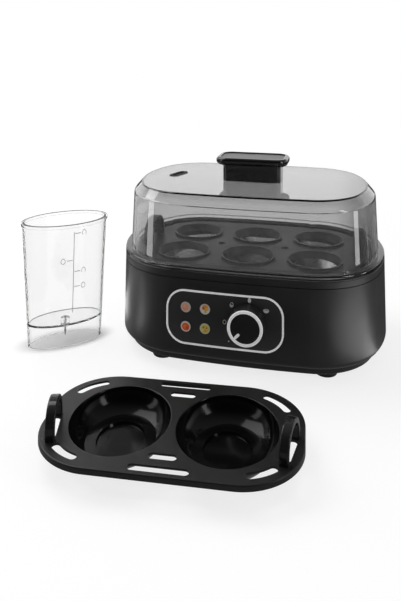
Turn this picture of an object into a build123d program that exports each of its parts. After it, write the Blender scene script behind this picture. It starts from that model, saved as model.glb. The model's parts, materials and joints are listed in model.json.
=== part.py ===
from build123d import *
import os
from math import sqrt

# An electric egg cooker for six eggs, with its poaching tray and its measuring cup beside it.
# Millimetres, +Z up, and the front with the knob faces -Y. The origin lies on the table in the middle
# of the set's footprint. Cooker, tray and cup are each drawn about their own centre and then placed.

# Places on the table
COOKER_AT = (34.3, 67.2)
TRAY_AT = (12.0, -92.3)
CUP_AT = (-108.2, 19.5)
TRAY_TURN = 4.0
CUP_TURN = 39.5

# Plan of the cooker: bowed sides and ends, joined by tangent corner arcs
BODY_LENGTH = 205.0
BODY_WIDTH = 145.0
SIDE_BOW_RADIUS = 770.0
END_BOW_RADIUS = 100.0
CORNER_MARGIN = 20.5
CORNER_RADIUS = BODY_WIDTH / 2 - CORNER_MARGIN

# Stack of heights
FOOT_HEIGHT = 4.0
PLINTH_HEIGHT = 5.5
HOUSING_HEIGHT = 55.3
RIM_HEIGHT = 5.5
LID_HEIGHT = 52.8
HOUSING_BOTTOM = FOOT_HEIGHT + PLINTH_HEIGHT
HOUSING_TOP = HOUSING_BOTTOM + HOUSING_HEIGHT
RIM_TOP = HOUSING_TOP + RIM_HEIGHT
LID_TOP = RIM_TOP + LID_HEIGHT

# Fits
PART_GAP = 0.3
PIN_GAP = 0.1
RUN_GAP = 0.05

# Base housing
HOUSING_WALL = 2.6
HOUSING_DRAFT = 1.1
HOUSING_EDGE = 4.0
FLOOR_LIP = 2.5
FLOOR_OPENING_INSET = 6.0

# Bottom cover
PLINTH_INSET = 3.6
PLINTH_TAPER = 1.4
PLINTH_EDGE = 1.5
COVER_THICKNESS = 2.5
COVER_SKIRT = 2.0
TONGUE_RISE = 3.0
TOWER_FROM_END = 16.2
TOWER_FROM_SIDE = 46.0
TOWER_X = BODY_LENGTH / 2 - TOWER_FROM_END
TOWER_Y = BODY_WIDTH / 2 - TOWER_FROM_SIDE
TOWER_DIAMETER = 10.4
TOWER_HEIGHT = 14.0
VENT_LENGTH = 26.0
VENT_WIDTH = 3.0
VENT_PITCH = 9.0
VENT_COUNT = 5

# Feet
FOOT_FROM_END = 42.5
FOOT_FROM_SIDE = 20.0
FOOT_X = BODY_LENGTH / 2 - FOOT_FROM_END
FOOT_Y = BODY_WIDTH / 2 - FOOT_FROM_SIDE
FOOT_DIAMETER = 16.0
FOOT_EDGE = 1.0
PEG_DIAMETER = 7.0
PEG_RISE = 4.0

# Rim ring and the deck inside it
RIM_LAND = 7.0
RIM_EDGE = 0.9
SHADOW_LINE = 0.6
DECK_DROP = 5.0
DECK_THICKNESS = 2.5
SKIRT_DROP = 8.3
SKIRT_WALL = 2.0
POST_DIAMETER = 8.0
DECK_TOP = RIM_TOP - DECK_DROP
DECK_UNDERSIDE = DECK_TOP - DECK_THICKNESS

# Water pan, its gasket and its screws
WELL_FROM_END = 27.5
WELL_FROM_SIDE = 26.0
WELL_CORNER_MARGIN = 10.0
WELL_LENGTH = BODY_LENGTH - 2 * WELL_FROM_END
WELL_WIDTH = BODY_WIDTH - 2 * WELL_FROM_SIDE
WELL_CORNER = WELL_WIDTH / 2 - WELL_CORNER_MARGIN
PAN_DEPTH = 12.0
PAN_DRAFT = 4.0
PAN_SHEET = 1.0
PAN_FLANGE = 7.0
PAN_FLOOR_EDGE = 3.0
GASKET_THICKNESS = 1.0
GASKET_WIDTH = 4.0
EAR_X = WELL_LENGTH / 2 - WELL_CORNER
EAR_REACH = 2.6
EAR_DIAMETER = 9.0
FLANGE_TOP = DECK_UNDERSIDE - GASKET_THICKNESS
FLANGE_BOTTOM = FLANGE_TOP - PAN_SHEET
PAN_FLOOR = FLANGE_TOP - PAN_DEPTH
PAN_UNDERSIDE = PAN_FLOOR - PAN_SHEET

# Heating element and its clamp
ELEMENT_DIAMETER = 6.6
ELEMENT_FROM_END = 32.0
ELEMENT_CLEARANCE = 1.2
ELEMENT_RUN = WELL_LENGTH - 2 * ELEMENT_FROM_END
ELEMENT_SHIFT = -3.0
COLD_PIN_DIAMETER = 3.0
COLD_PIN_LENGTH = 10.0
CLAMP_OVERLAP = 5.0
CLAMP_WIDTH = 9.0
CLAMP_SHEET = 1.5
CLAMP_STUD = 4.0
CLAMP_NUT_FLATS = 7.0
CLAMP_NUT_HEIGHT = 3.2

# Thermostat on the pan
THERMOSTAT_X = -27.0
THERMOSTAT_CAP = 16.0
THERMOSTAT_CAP_HEIGHT = 4.0
THERMOSTAT_BODY = 13.0
THERMOSTAT_BODY_HEIGHT = 7.0
BRACKET_SPREAD = 24.0
BRACKET_WIDTH = 9.0
BRACKET_SHEET = 0.8
BRACKET_STUD = 3.0
BRACKET_NUT_FLATS = 5.5
BRACKET_NUT_HEIGHT = 2.4
ELEMENT_SPREAD = BRACKET_SPREAD + BRACKET_WIDTH + ELEMENT_DIAMETER + 2 * ELEMENT_CLEARANCE
CLAMP_LENGTH = ELEMENT_SPREAD + 2 * CLAMP_OVERLAP
BLADE_WIDTH = 4.8
BLADE_SHEET = 0.8
BLADE_LENGTH = 7.0

# Thermal fuse under the pan
FUSE_X = 24.0
FUSE_DIAMETER = 4.4
FUSE_LENGTH = 24.0
FUSE_CLIP_SHEET = 0.6
FUSE_CLIP_WIDTH = 6.0
FUSE_CLIP_EAR = 5.0

# Control panel in the front wall
PANEL_X = -10.0
PANEL_Z = 38.2
PANEL_LENGTH = 84.8
PANEL_HEIGHT = 38.8
PANEL_CORNER = 14.0
PANEL_POCKET = 1.2
PANEL_PROUD = 0.2
BEZEL_WIDTH = 1.4
BEZEL_PROUD = 0.5
PICTURE_DIAMETER = 7.4
PICTURE_X = (-27.7, -13.5)
PICTURE_Z = (6.8, -6.9)
PICTURE_DEPTH = 0.3
PICTURE_PROUD = 0.1

# Knob and the rotary switch behind it
KNOB_X = 7.0
KNOB_Z = 39.2
KNOB_DIAMETER = 25.8
KNOB_TAPER = 0.6
KNOB_DEPTH = 10.5
KNOB_STANDOFF = 1.0
KNOB_WALL = 2.2
KNOB_EDGE = 1.0
KNOB_RING_WIDTH = 2.0
KNOB_RING_THICKNESS = 1.4
KNOB_RING_PROUD = 0.5
HUB_DIAMETER = 10.0
HUB_START = 3.6
SHAFT_DIAMETER = 6.0
SHAFT_FLAT = 1.2
POINTER_TURN = 135.0
POINTER_LENGTH = 4.6
POINTER_WIDTH = 1.8
POINTER_PROUD = 0.35
POINTER_DEPTH = 0.8
PAD_DIAMETER = 22.0
PAD_DEPTH = 2.0
BUSH_DIAMETER = 9.4
BUSH_REACH = 3.0
SWITCH_NUT_FLATS = 13.0
SWITCH_NUT_HEIGHT = 2.4
NUT_SPOT = 17.0
SWITCH_SIDE = 26.0
SWITCH_DEPTH = 14.0
SWITCH_CORNER = 3.0
SHAFT_TAIL = 9.0

# Rear cable entry
GLAND_X = -30.0
GLAND_Z = 22.0
GLAND_FLANGE = 14.0
GLAND_FLANGE_HEIGHT = 2.2
GLAND_BODY = 11.0
GLAND_LENGTH = 12.0
GLAND_BORE = 7.0
GLAND_SPOT = 0.9
GLAND_NUT_DIAMETER = 15.0
GLAND_NUT_HEIGHT = 3.5
GLAND_EDGE = 0.8

# Terminal block on the bottom cover
BLOCK_X = -30.0
BLOCK_FROM_SIDE = 30.0
BLOCK_Y = BODY_WIDTH / 2 - BLOCK_FROM_SIDE
BLOCK_LENGTH = 30.0
BLOCK_WIDTH = 15.0
BLOCK_HEIGHT = 12.0
BLOCK_POLES = 3
BLOCK_POLE_PITCH = 9.0
BLOCK_BORE = 3.6
BLOCK_WELL = 4.6
BLOCK_WELL_DEPTH = 4.0
BLOCK_EDGE = 0.8

# Wires between the block, the switch, the heater, the fuse and the thermostat
WIRE_DIAMETER = 2.2
WIRE_BEND = 3.0
WIRE_LEVEL = 36.0
WIRE_LOW = 26.0
WIRE_FROM_SIDE = 35.0
WIRE_LANE = BODY_WIDTH / 2 - WIRE_FROM_SIDE
WIRE_LANE_STEP = 4.0
WIRE_TAIL = 9.0

# Lid
LID_FLANGE_HEIGHT = 3.2
LID_FLANGE_INSET = 0.2
LID_FLANGE_EDGE = 1.3
LID_WALL_INSET = 4.5
LID_SHOULDER_INSET = 6.6
LID_SHOULDER_DROP = 7.1
LID_TOP_INSET = 12.8
LID_SHOULDER_EDGE = 3.0
LID_TOP_EDGE = 1.2
LID_SHEET = 2.0
LID_LIP_DROP = 3.0
LID_LIP_WALL = 1.7
LID_SHELF = 1.5
STEAM_FROM_END = 38.7
STEAM_FROM_SIDE = 67.7
STEAM_SLOT_X = STEAM_FROM_END - BODY_LENGTH / 2
STEAM_SLOT_Y = BODY_WIDTH / 2 - STEAM_FROM_SIDE
STEAM_SLOT_TURN = 70.0
STEAM_SLOT_LENGTH = 19.0
STEAM_SLOT_WIDTH = 6.4
STEAM_FRAME = 1.6
STEAM_RIM = 0.8
STEAM_RIM_HEIGHT = 0.5

# Lid handle
HANDLE_LENGTH = 46.4
HANDLE_WIDTH = 24.7
HANDLE_CORNER = 5.0
HANDLE_RISE = 13.1
GRIP_LENGTH = 57.4
GRIP_WIDTH = 34.0
GRIP_CORNER = 10.0
GRIP_HEIGHT = 5.8
GRIP_EDGE = 2.4
GRIP_RIM = 3.4
GRIP_RECESS = 1.6
CAP_THICKNESS = 0.9
HANDLE_SCREW_X = 13.0

# Screws
SCREW_DIAMETER = 3.0
SCREW_HEAD = 6.0
SCREW_HEAD_HEIGHT = 2.0
SCREW_SLOT = 0.9
SCREW_SLOT_DEPTH = 0.8
COVER_SCREW_LENGTH = 22.0
HANDLE_SCREW_LENGTH = 10.0

# Egg rack
RACK_INSET = 12.0
RACK_PLATE = 2.2
RACK_RISE = 2.0
RACK_SKIRT = 2.0
RACK_EDGE = 0.8
SEAT_BORE = 33.0
SEAT_MOUTH = 39.0
SEAT_WALL = 1.6
SEAT_RISE = 1.5
SEAT_SPACE_X = 8.8
SEAT_SPACE_Y = 9.0
SEAT_PITCH_X = SEAT_MOUTH + 2 * SEAT_WALL + SEAT_SPACE_X
SEAT_PITCH_Y = SEAT_MOUTH + 2 * SEAT_WALL + SEAT_SPACE_Y
RACK_HOLE = 6.0
RACK_HANDLE_FROM_END = 18.5
RACK_HANDLE_X = BODY_LENGTH / 2 - RACK_HANDLE_FROM_END

# Loop handles of the rack and the tray
RACK_LOOP = (34.0, 18.5)
RACK_STRAP = 8.0
TRAY_LOOP = (28.5, 16.5)
TRAY_STRAP = 5.5
TRAY_LOOP_SPLAY = 12.0
LOOP_ROUND = 0.8
LOOP_THICKNESS = 3.0
LOOP_EDGE = 0.8

# Poaching tray
TRAY_LENGTH = 151.0
TRAY_WIDTH = 92.0
TRAY_CORNER_MARGIN = 9.5
TRAY_CORNER = TRAY_WIDTH / 2 - TRAY_CORNER_MARGIN
TRAY_TOP = 14.8
TRAY_PLATE = 1.2
TRAY_SKIRT_HEIGHT = 3.2
TRAY_SKIRT_WALL = 1.4
TRAY_EDGE = 0.8
BOWL_FROM_END = 44.0
BOWL_PITCH = TRAY_LENGTH - 2 * BOWL_FROM_END
BOWL_RADIUS = 29.2
BOWL_OVAL = 1.18
BOWL_WALL = 1.6
BOWL_BELLY_RADIUS = 26.9
BOWL_BELLY_DROP = 6.5
BOWL_SHELF_RADIUS = 20.5
BOWL_FLOOR_RADIUS = 13.5
BOWL_FLOOR_STEP = 1.4
BOWL_RIM_EDGE = 0.6
TRAY_HANDLE_FROM_END = 8.5
TRAY_HANDLE_X = TRAY_LENGTH / 2 - TRAY_HANDLE_FROM_END
TRAY_HANDLE_FROM_FRONT = 31.7
TRAY_HANDLE_Y = TRAY_HANDLE_FROM_FRONT - TRAY_WIDTH / 2
SLOT_WIDTH = 5.0
LOOP_SLOT_MARGIN = 1.2
LOOP_SLOT = TRAY_LOOP[0] - 2 * LOOP_THICKNESS - 2 * LOOP_SLOT_MARGIN
LONG_SLOT = 33.0
LONG_SLOT_FROM_EDGE = 5.6
LONG_SLOT_Y = TRAY_WIDTH / 2 - LONG_SLOT_FROM_EDGE
SHORT_SLOT = 16.0
SHORT_SLOT_FROM_EDGE = 16.0
SHORT_SLOT_Y = TRAY_WIDTH / 2 - SHORT_SLOT_FROM_EDGE
CORNER_SLOT_EDGE = 7.3
BACK_SLOT_SPAN = (30.0, 34.0)
FRONT_SLOT_SPAN = (46.5, 27.0)

# Measuring cup
CUP_HEIGHT = 95.0
CUP_TOP_LENGTH = 66.3
CUP_TOP_WIDTH = 41.4
CUP_FOOT_LENGTH = 57.4
CUP_FOOT_WIDTH = 27.7
CUP_WALL = 1.6
CUP_FLOOR = 17.7
CUP_LIP = 0.9
CUP_LIP_HEIGHT = 2.2
NEEDLE_BOSS = 7.0
NEEDLE_BOSS_HEIGHT = 5.0
NEEDLE_DIAMETER = 1.4
NEEDLE_LENGTH = 12.0
NEEDLE_SEAT = 4.0
NEEDLE_TIP = 3.0


# Helpers

def corners(x, y):
    """The four places (+-x, +-y)."""
    return [(sx * x, sy * y) for sx in (-1, 1) for sy in (-1, 1)]


def disc(diameter, height, z=0.0):
    """An upright cylinder that stands at height z."""
    return Pos(0, 0, z) * Cylinder(diameter / 2, height, align=(Align.CENTER, Align.CENTER, Align.MIN))


def slab(sketch, z, height):
    """A flat sketch raised from z by height."""
    return extrude(Pos(0, 0, z) * sketch, height)


def group(pieces):
    """Several loose solids that share one node."""
    return Compound([solid for piece in pieces for solid in piece.solids()])


def outline(inset, z):
    """The cooker's plan at height z, drawn in by inset: bowed sides and ends with tangent corners."""
    side_centre = Vector(0, BODY_WIDTH / 2 - SIDE_BOW_RADIUS)
    end_centre = Vector(BODY_LENGTH / 2 - END_BOW_RADIUS, 0)
    span = end_centre - side_centre
    unit = span.normalized()
    reach = SIDE_BOW_RADIUS - CORNER_RADIUS
    along = (reach**2 - (END_BOW_RADIUS - CORNER_RADIUS) ** 2 + span.length**2) / (2 * span.length)
    across = sqrt(reach**2 - along**2)
    corner_centre = side_centre + unit * along + Vector(unit.Y, -unit.X) * across
    to_side = (corner_centre - side_centre).normalized()
    to_end = (corner_centre - end_centre).normalized()
    on_side = side_centre + to_side * (SIDE_BOW_RADIUS - inset)
    on_end = end_centre + to_end * (END_BOW_RADIUS - inset)
    mid = corner_centre + (to_side + to_end).normalized() * (CORNER_RADIUS - inset)
    half_length = BODY_LENGTH / 2 - inset
    half_width = BODY_WIDTH / 2 - inset
    arcs = []
    for sy in (1, -1):
        left, right = (-on_side.X, sy * on_side.Y), (on_side.X, sy * on_side.Y)
        arcs.append(ThreePointArc(left, (0, sy * half_width), right))
        for sx in (1, -1):
            start, through, stop = [(sx * p.X, sy * p.Y) for p in (on_side, mid, on_end)]
            arcs.append(ThreePointArc(start, through, stop))
    for sx in (1, -1):
        back, front = (sx * on_end.X, on_end.Y), (sx * on_end.X, -on_end.Y)
        arcs.append(ThreePointArc(back, (sx * half_length, 0), front))
    return Pos(0, 0, z) * make_face(arcs)


def prism(inset, bottom, top):
    """An upright block with the cooker's plan."""
    return extrude(outline(inset, bottom), top - bottom)


def tower(*levels):
    """A solid with the cooker's plan that runs straight from one (height, inset) level to the next."""
    return loft([outline(inset, z) for z, inset in levels], ruled=True)


def lean(z):
    """Inset of the housing's drafted outer face at height z."""
    return -HOUSING_DRAFT * (HOUSING_TOP - z) / HOUSING_HEIGHT


def wall_block(depth):
    """The housing's outer form drawn in by depth, from its bottom to its top."""
    return tower((HOUSING_BOTTOM, depth + lean(HOUSING_BOTTOM)), (HOUSING_TOP, depth))


def wall_skin(outer, inner):
    """The layer of the housing's wall between two depths below its outer face."""
    return wall_block(outer) - wall_block(inner)


def wall_y(x, z, depth=0.0):
    """Distance from the long axis to the side wall at x and z, depth below its outer face."""
    radius = SIDE_BOW_RADIUS - lean(z) - depth
    return sqrt(radius**2 - x**2) - SIDE_BOW_RADIUS + BODY_WIDTH / 2


def front_prism(sketch, x, z):
    """A sketch drawn on the front, carried from the middle of the cooker out through the front wall."""
    return extrude(Plane.XZ.offset(BODY_WIDTH / 4) * Pos(x, z) * sketch, BODY_WIDTH / 2)


def screw(length):
    """A pan head screw with a crossed recess: the head hangs below z 0, the shank stands above it."""
    head = disc(SCREW_HEAD, SCREW_HEAD_HEIGHT, -SCREW_HEAD_HEIGHT)
    head = fillet(head.edges().group_by(Axis.Z)[0], SCREW_HEAD_HEIGHT / 3)
    slot = Pos(0, 0, -SCREW_HEAD_HEIGHT + SCREW_SLOT_DEPTH / 2)
    cross = Box(SCREW_HEAD * 2 / 3, SCREW_SLOT, SCREW_SLOT_DEPTH)
    cross += Box(SCREW_SLOT, SCREW_HEAD * 2 / 3, SCREW_SLOT_DEPTH)
    return head + disc(SCREW_DIAMETER, length) - slot * cross


def hex_nut(flats, height, bore, z):
    """A hexagon nut that stands at height z."""
    plan = RegularPolygon(flats / 2, 6, major_radius=False) - Circle(bore / 2)
    return slab(plan, z, height)


def loop_handle(size, strap):
    """An arch of flat strap across the Y axis: two legs with wide rounds up to a level top."""
    span, height = size
    bore, rise = span - 2 * LOOP_THICKNESS, height - LOOP_THICKNESS
    bend = LOOP_ROUND * height
    arch = RectangleRounded(span, 2 * height, bend)
    arch -= RectangleRounded(bore, 2 * rise, bend - LOOP_THICKNESS)
    arch &= Pos(0, height / 2) * Rectangle(span, height)
    loop = extrude(Plane.YZ * arch, strap / 2, both=True)
    rims = [e for e in loop.edges() if abs(e.center().X) > strap / 4 and e.center().Z > LOOP_EDGE]
    return fillet(rims, LOOP_EDGE)


# Base: housing, cover, feet and rim

def base_housing():
    shell = fillet(wall_block(0).edges().group_by(Axis.Z)[0], HOUSING_EDGE)
    lip_top = HOUSING_BOTTOM + FLOOR_LIP
    shell -= tower((lip_top, HOUSING_WALL + lean(lip_top)), (HOUSING_TOP, HOUSING_WALL))
    shell -= prism(FLOOR_OPENING_INSET, HOUSING_BOTTOM, lip_top)
    pocket = RectangleRounded(PANEL_LENGTH, PANEL_HEIGHT, PANEL_CORNER)
    shell -= front_prism(pocket, PANEL_X, PANEL_Z) & wall_skin(0, PANEL_POCKET)
    pad = disc(PAD_DIAMETER, PAD_DEPTH + HOUSING_WALL / 4, SWITCH_FACE)
    shell += KNOB_PLANE * pad
    shell -= KNOB_PLANE * disc(BUSH_DIAMETER + 2 * PIN_GAP, BODY_WIDTH / 4, -BODY_WIDTH / 8)
    shell -= GLAND_PLANE * disc(GLAND_FLANGE + 2 * PART_GAP, BODY_WIDTH / 8)
    shell -= GLAND_PLANE * disc(GLAND_BODY + 2 * PIN_GAP, BODY_WIDTH / 8, -BODY_WIDTH / 16)
    return shell


def bottom_cover():
    cover = tower((FOOT_HEIGHT, PLINTH_INSET + PLINTH_TAPER), (HOUSING_BOTTOM, PLINTH_INSET))
    cover = fillet(cover.edges().group_by(Axis.Z)[0], PLINTH_EDGE)
    plate_top = FOOT_HEIGHT + COVER_THICKNESS
    cover -= prism(PLINTH_INSET + PLINTH_TAPER + COVER_SKIRT, plate_top, HOUSING_BOTTOM)
    tongue = FLOOR_OPENING_INSET + PART_GAP
    tongue_top = HOUSING_BOTTOM + TONGUE_RISE
    cover += prism(tongue, plate_top, tongue_top) - prism(tongue + COVER_SKIRT, plate_top, tongue_top)
    for x, y in corners(TOWER_X, TOWER_Y):
        cover += Pos(x, y) * disc(TOWER_DIAMETER, TOWER_HEIGHT, FOOT_HEIGHT)
        cover -= Pos(x, y) * disc(SCREW_DIAMETER + 2 * PIN_GAP, TOWER_HEIGHT, FOOT_HEIGHT)
        cover -= Pos(x, y) * disc(SCREW_HEAD + 2 * PART_GAP, SCREW_SEAT - FOOT_HEIGHT, FOOT_HEIGHT)
    for x, y in corners(FOOT_X, FOOT_Y):
        cover -= Pos(x, y) * disc(PEG_DIAMETER + 2 * PIN_GAP, PEG_RISE + PART_GAP, FOOT_HEIGHT)
    vent = slab(SlotOverall(VENT_LENGTH, VENT_WIDTH, rotation=90), FOOT_HEIGHT, COVER_THICKNESS)
    for i in range(VENT_COUNT):
        cover -= Pos((i - (VENT_COUNT - 1) / 2) * VENT_PITCH, 0) * vent
    return cover


def feet():
    foot = disc(FOOT_DIAMETER, FOOT_HEIGHT)
    foot = fillet(foot.edges().group_by(Axis.Z)[0], FOOT_EDGE)
    foot += disc(PEG_DIAMETER, PEG_RISE, FOOT_HEIGHT)
    return group([Pos(x, y) * foot for x, y in corners(FOOT_X, FOOT_Y)])


def cover_screws():
    piece = Pos(0, 0, SCREW_SEAT) * screw(COVER_SCREW_LENGTH)
    return group([Pos(x, y) * piece for x, y in corners(TOWER_X, TOWER_Y)])


def rim_ring():
    band = prism(0, HOUSING_TOP + SHADOW_LINE, RIM_TOP)
    rim = fillet(band.edges().group_by(Axis.Z)[-1], RIM_EDGE)
    skirt_inset = HOUSING_WALL + PART_GAP
    skirt_bottom = HOUSING_TOP - SKIRT_DROP
    rim += prism(SHADOW_LINE, HOUSING_TOP, HOUSING_TOP + SHADOW_LINE)
    rim += prism(skirt_inset, skirt_bottom, HOUSING_TOP)
    rim -= prism(skirt_inset + SKIRT_WALL, skirt_bottom, DECK_UNDERSIDE)
    rim -= prism(RIM_LAND, DECK_TOP, RIM_TOP)
    rim -= slab(RectangleRounded(WELL_LENGTH, WELL_WIDTH, WELL_CORNER), DECK_UNDERSIDE, DECK_THICKNESS)
    post_bottom = FOOT_HEIGHT + TOWER_HEIGHT
    for x, y in corners(TOWER_X, TOWER_Y):
        rim += Pos(x, y) * disc(POST_DIAMETER, DECK_UNDERSIDE - post_bottom, post_bottom)
        bore_top = SCREW_SEAT + COVER_SCREW_LENGTH + PART_GAP
        rim -= Pos(x, y) * disc(SCREW_DIAMETER + 2 * RUN_GAP, bore_top - post_bottom, post_bottom)
    for x, y in corners(EAR_X, EAR_Y):
        rim += Pos(x, y) * disc(EAR_DIAMETER, GASKET_THICKNESS, FLANGE_TOP)
        rim -= Pos(x, y) * disc(SCREW_DIAMETER + 2 * RUN_GAP, PAN_SCREW_REACH + PIN_GAP, FLANGE_TOP)
    return rim


# Water pan and what is fixed under it

def pan_plan(grow):
    """The well's plan, grown by a margin all round."""
    return RectangleRounded(WELL_LENGTH + 2 * grow, WELL_WIDTH + 2 * grow, WELL_CORNER + grow)


def dish(grow, floor):
    """The drafted body of the pan, grown by a sheet's thickness, from a floor up to its flange."""
    low = Pos(0, 0, floor) * pan_plan(grow - PAN_DRAFT)
    return loft([low, Pos(0, 0, FLANGE_TOP) * pan_plan(grow)], ruled=True)


def water_pan():
    pan = fillet(dish(PAN_SHEET, PAN_UNDERSIDE).edges().group_by(Axis.Z)[0], PAN_FLOOR_EDGE + PAN_SHEET)
    pan += slab(pan_plan(PAN_FLANGE), FLANGE_BOTTOM, PAN_SHEET)
    for x, y in corners(EAR_X, EAR_Y):
        pan += Pos(x, y) * disc(EAR_DIAMETER, PAN_SHEET, FLANGE_BOTTOM)
        pan -= Pos(x, y) * disc(SCREW_DIAMETER + 2 * PIN_GAP, PAN_SHEET, FLANGE_BOTTOM)
    pan -= fillet(dish(0, PAN_FLOOR).edges().group_by(Axis.Z)[0], PAN_FLOOR_EDGE)
    pan += disc(CLAMP_STUD, PAN_UNDERSIDE - CLAMP_STUD_END, CLAMP_STUD_END)
    for y in (-BRACKET_SPREAD / 2, BRACKET_SPREAD / 2):
        pan += Pos(THERMOSTAT_X, y) * disc(BRACKET_STUD, PAN_UNDERSIDE - BRACKET_STUD_END, BRACKET_STUD_END)
    return pan


def pan_gasket():
    return slab(pan_plan(GASKET_WIDTH) - pan_plan(0), FLANGE_TOP, GASKET_THICKNESS)


def pan_screws():
    piece = Pos(0, 0, FLANGE_BOTTOM) * screw(PAN_SHEET + PAN_SCREW_REACH)
    return group([Pos(x, y) * piece for x, y in corners(EAR_X, EAR_Y)])


def heating_element():
    start = ELEMENT_SHIFT - ELEMENT_RUN / 2
    stop = ELEMENT_SHIFT + ELEMENT_RUN / 2
    half = ELEMENT_SPREAD / 2
    path = Polyline((start, half), (stop, half))
    path += ThreePointArc((stop, half), (stop + half, 0), (stop, -half))
    path += Polyline((stop, -half), (start, -half))
    path = Pos(0, 0, ELEMENT_Z) * path
    tube = sweep(Plane((start, half, ELEMENT_Z), z_dir=(1, 0, 0)) * Circle(ELEMENT_DIAMETER / 2), path)
    for y in (-half, half):
        pin = Plane((start, y, ELEMENT_Z), z_dir=(-1, 0, 0)) * disc(COLD_PIN_DIAMETER, COLD_PIN_LENGTH)
        tube += pin
    return tube


def element_clamp():
    bar = RectangleRounded(CLAMP_WIDTH, CLAMP_LENGTH, CLAMP_WIDTH / 3) - Circle(CLAMP_STUD / 2 + PIN_GAP)
    return slab(bar, CLAMP_BOTTOM, CLAMP_SHEET)


def clamp_nut():
    bottom = CLAMP_BOTTOM - CLAMP_NUT_HEIGHT
    return hex_nut(CLAMP_NUT_FLATS, CLAMP_NUT_HEIGHT, CLAMP_STUD + 2 * RUN_GAP, bottom)


def thermostat():
    cap = disc(THERMOSTAT_CAP, THERMOSTAT_CAP_HEIGHT, THERMOSTAT_SEAT)
    body = disc(THERMOSTAT_BODY, THERMOSTAT_BODY_HEIGHT, THERMOSTAT_SEAT - THERMOSTAT_BODY_HEIGHT)
    blade = Box(BLADE_SHEET, BLADE_WIDTH, BLADE_LENGTH)
    blade_z = THERMOSTAT_SEAT - THERMOSTAT_BODY_HEIGHT - BLADE_LENGTH / 2
    blades = [Pos(x, 0, blade_z) * blade for x in (-THERMOSTAT_BODY / 4, THERMOSTAT_BODY / 4)]
    return Pos(THERMOSTAT_X, 0) * (cap + body + blades)


def thermostat_bracket():
    plate = SlotOverall(BRACKET_SPREAD + BRACKET_WIDTH, BRACKET_WIDTH, rotation=90)
    plate += Circle(THERMOSTAT_CAP / 2 + BRACKET_SHEET)
    plate -= Circle(THERMOSTAT_BODY / 2 + PIN_GAP)
    for y in (-BRACKET_SPREAD / 2, BRACKET_SPREAD / 2):
        plate -= Pos(0, y) * Circle(BRACKET_STUD / 2 + PIN_GAP)
    return Pos(THERMOSTAT_X, 0) * slab(plate, THERMOSTAT_SEAT - BRACKET_SHEET, BRACKET_SHEET)


def thermostat_nuts():
    top = THERMOSTAT_SEAT - BRACKET_SHEET
    nut = hex_nut(BRACKET_NUT_FLATS, BRACKET_NUT_HEIGHT, BRACKET_STUD + 2 * RUN_GAP, top - BRACKET_NUT_HEIGHT)
    return group([Pos(THERMOSTAT_X, y) * nut for y in (-BRACKET_SPREAD / 2, BRACKET_SPREAD / 2)])


def thermal_fuse():
    body = Plane((FUSE_X, -FUSE_LENGTH / 2, FUSE_Z), z_dir=(0, 1, 0)) * disc(FUSE_DIAMETER, FUSE_LENGTH)
    return fillet(body.edges(), FUSE_DIAMETER / 8)


def fuse_clip():
    bore = FUSE_DIAMETER / 2 + PIN_GAP
    wrap = bore + FUSE_CLIP_SHEET
    rise = PAN_UNDERSIDE - FUSE_Z
    plan = Circle(wrap) + Pos(0, rise / 2) * Rectangle(2 * wrap, rise)
    ear_z = rise - FUSE_CLIP_SHEET / 2
    plan += Pos(0, ear_z) * Rectangle(2 * (wrap + FUSE_CLIP_EAR), FUSE_CLIP_SHEET)
    plan -= Circle(bore) + Pos(0, rise / 2) * Rectangle(2 * bore, rise)
    plan -= Pos(0, rise + wrap) * Rectangle(4 * wrap, 2 * wrap)
    return Pos(FUSE_X, 0, FUSE_Z) * extrude(Plane.XZ * plan, FUSE_CLIP_WIDTH / 2, both=True)


# Control panel, knob and switch

def panel_plan(shrink):
    """The panel's rounded plan, drawn in by a margin."""
    corner = PANEL_CORNER - shrink
    return RectangleRounded(PANEL_LENGTH - 2 * shrink, PANEL_HEIGHT - 2 * shrink, corner)


def control_panel():
    plate = front_prism(panel_plan(BEZEL_WIDTH), PANEL_X, PANEL_Z) & wall_skin(-PANEL_PROUD, PANEL_POCKET)
    plate -= KNOB_PLANE * disc(BUSH_DIAMETER + 2 * PIN_GAP, BODY_WIDTH / 4, -BODY_WIDTH / 8)
    plate -= KNOB_PLANE * disc(NUT_SPOT, KNOB_STANDOFF)
    return plate - picture_blanks(PICTURE_DIAMETER / 2 + PIN_GAP)


def panel_bezel():
    frame = panel_plan(PIN_GAP) - panel_plan(BEZEL_WIDTH - PIN_GAP)
    return front_prism(frame, PANEL_X, PANEL_Z) & wall_skin(-BEZEL_PROUD, PANEL_POCKET)


def picture_blanks(radius):
    """The four round pictures' places as thin discs that follow the panel's face."""
    layer = wall_skin(-PANEL_PROUD - PICTURE_PROUD, PICTURE_DEPTH - PANEL_PROUD)
    places = [(PANEL_X + x, PANEL_Z + z) for x in PICTURE_X for z in PICTURE_Z]
    return [front_prism(Circle(radius), x, z) & layer for x, z in places]


def picture_discs():
    return group(picture_blanks(PICTURE_DIAMETER / 2))


def knob_round(radius, bottom, top):
    """A cylinder about the knob's axis, between two distances out from the panel's face."""
    return disc(2 * radius, top - bottom, bottom)


def shaft_plan(gap):
    """A round shaft with one flat, grown by a clearance."""
    radius = SHAFT_DIAMETER / 2 + gap
    flat = SHAFT_DIAMETER / 2 - SHAFT_FLAT + gap
    return Circle(radius) - Pos(0, flat + radius) * Rectangle(2 * radius, 2 * radius)


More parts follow.
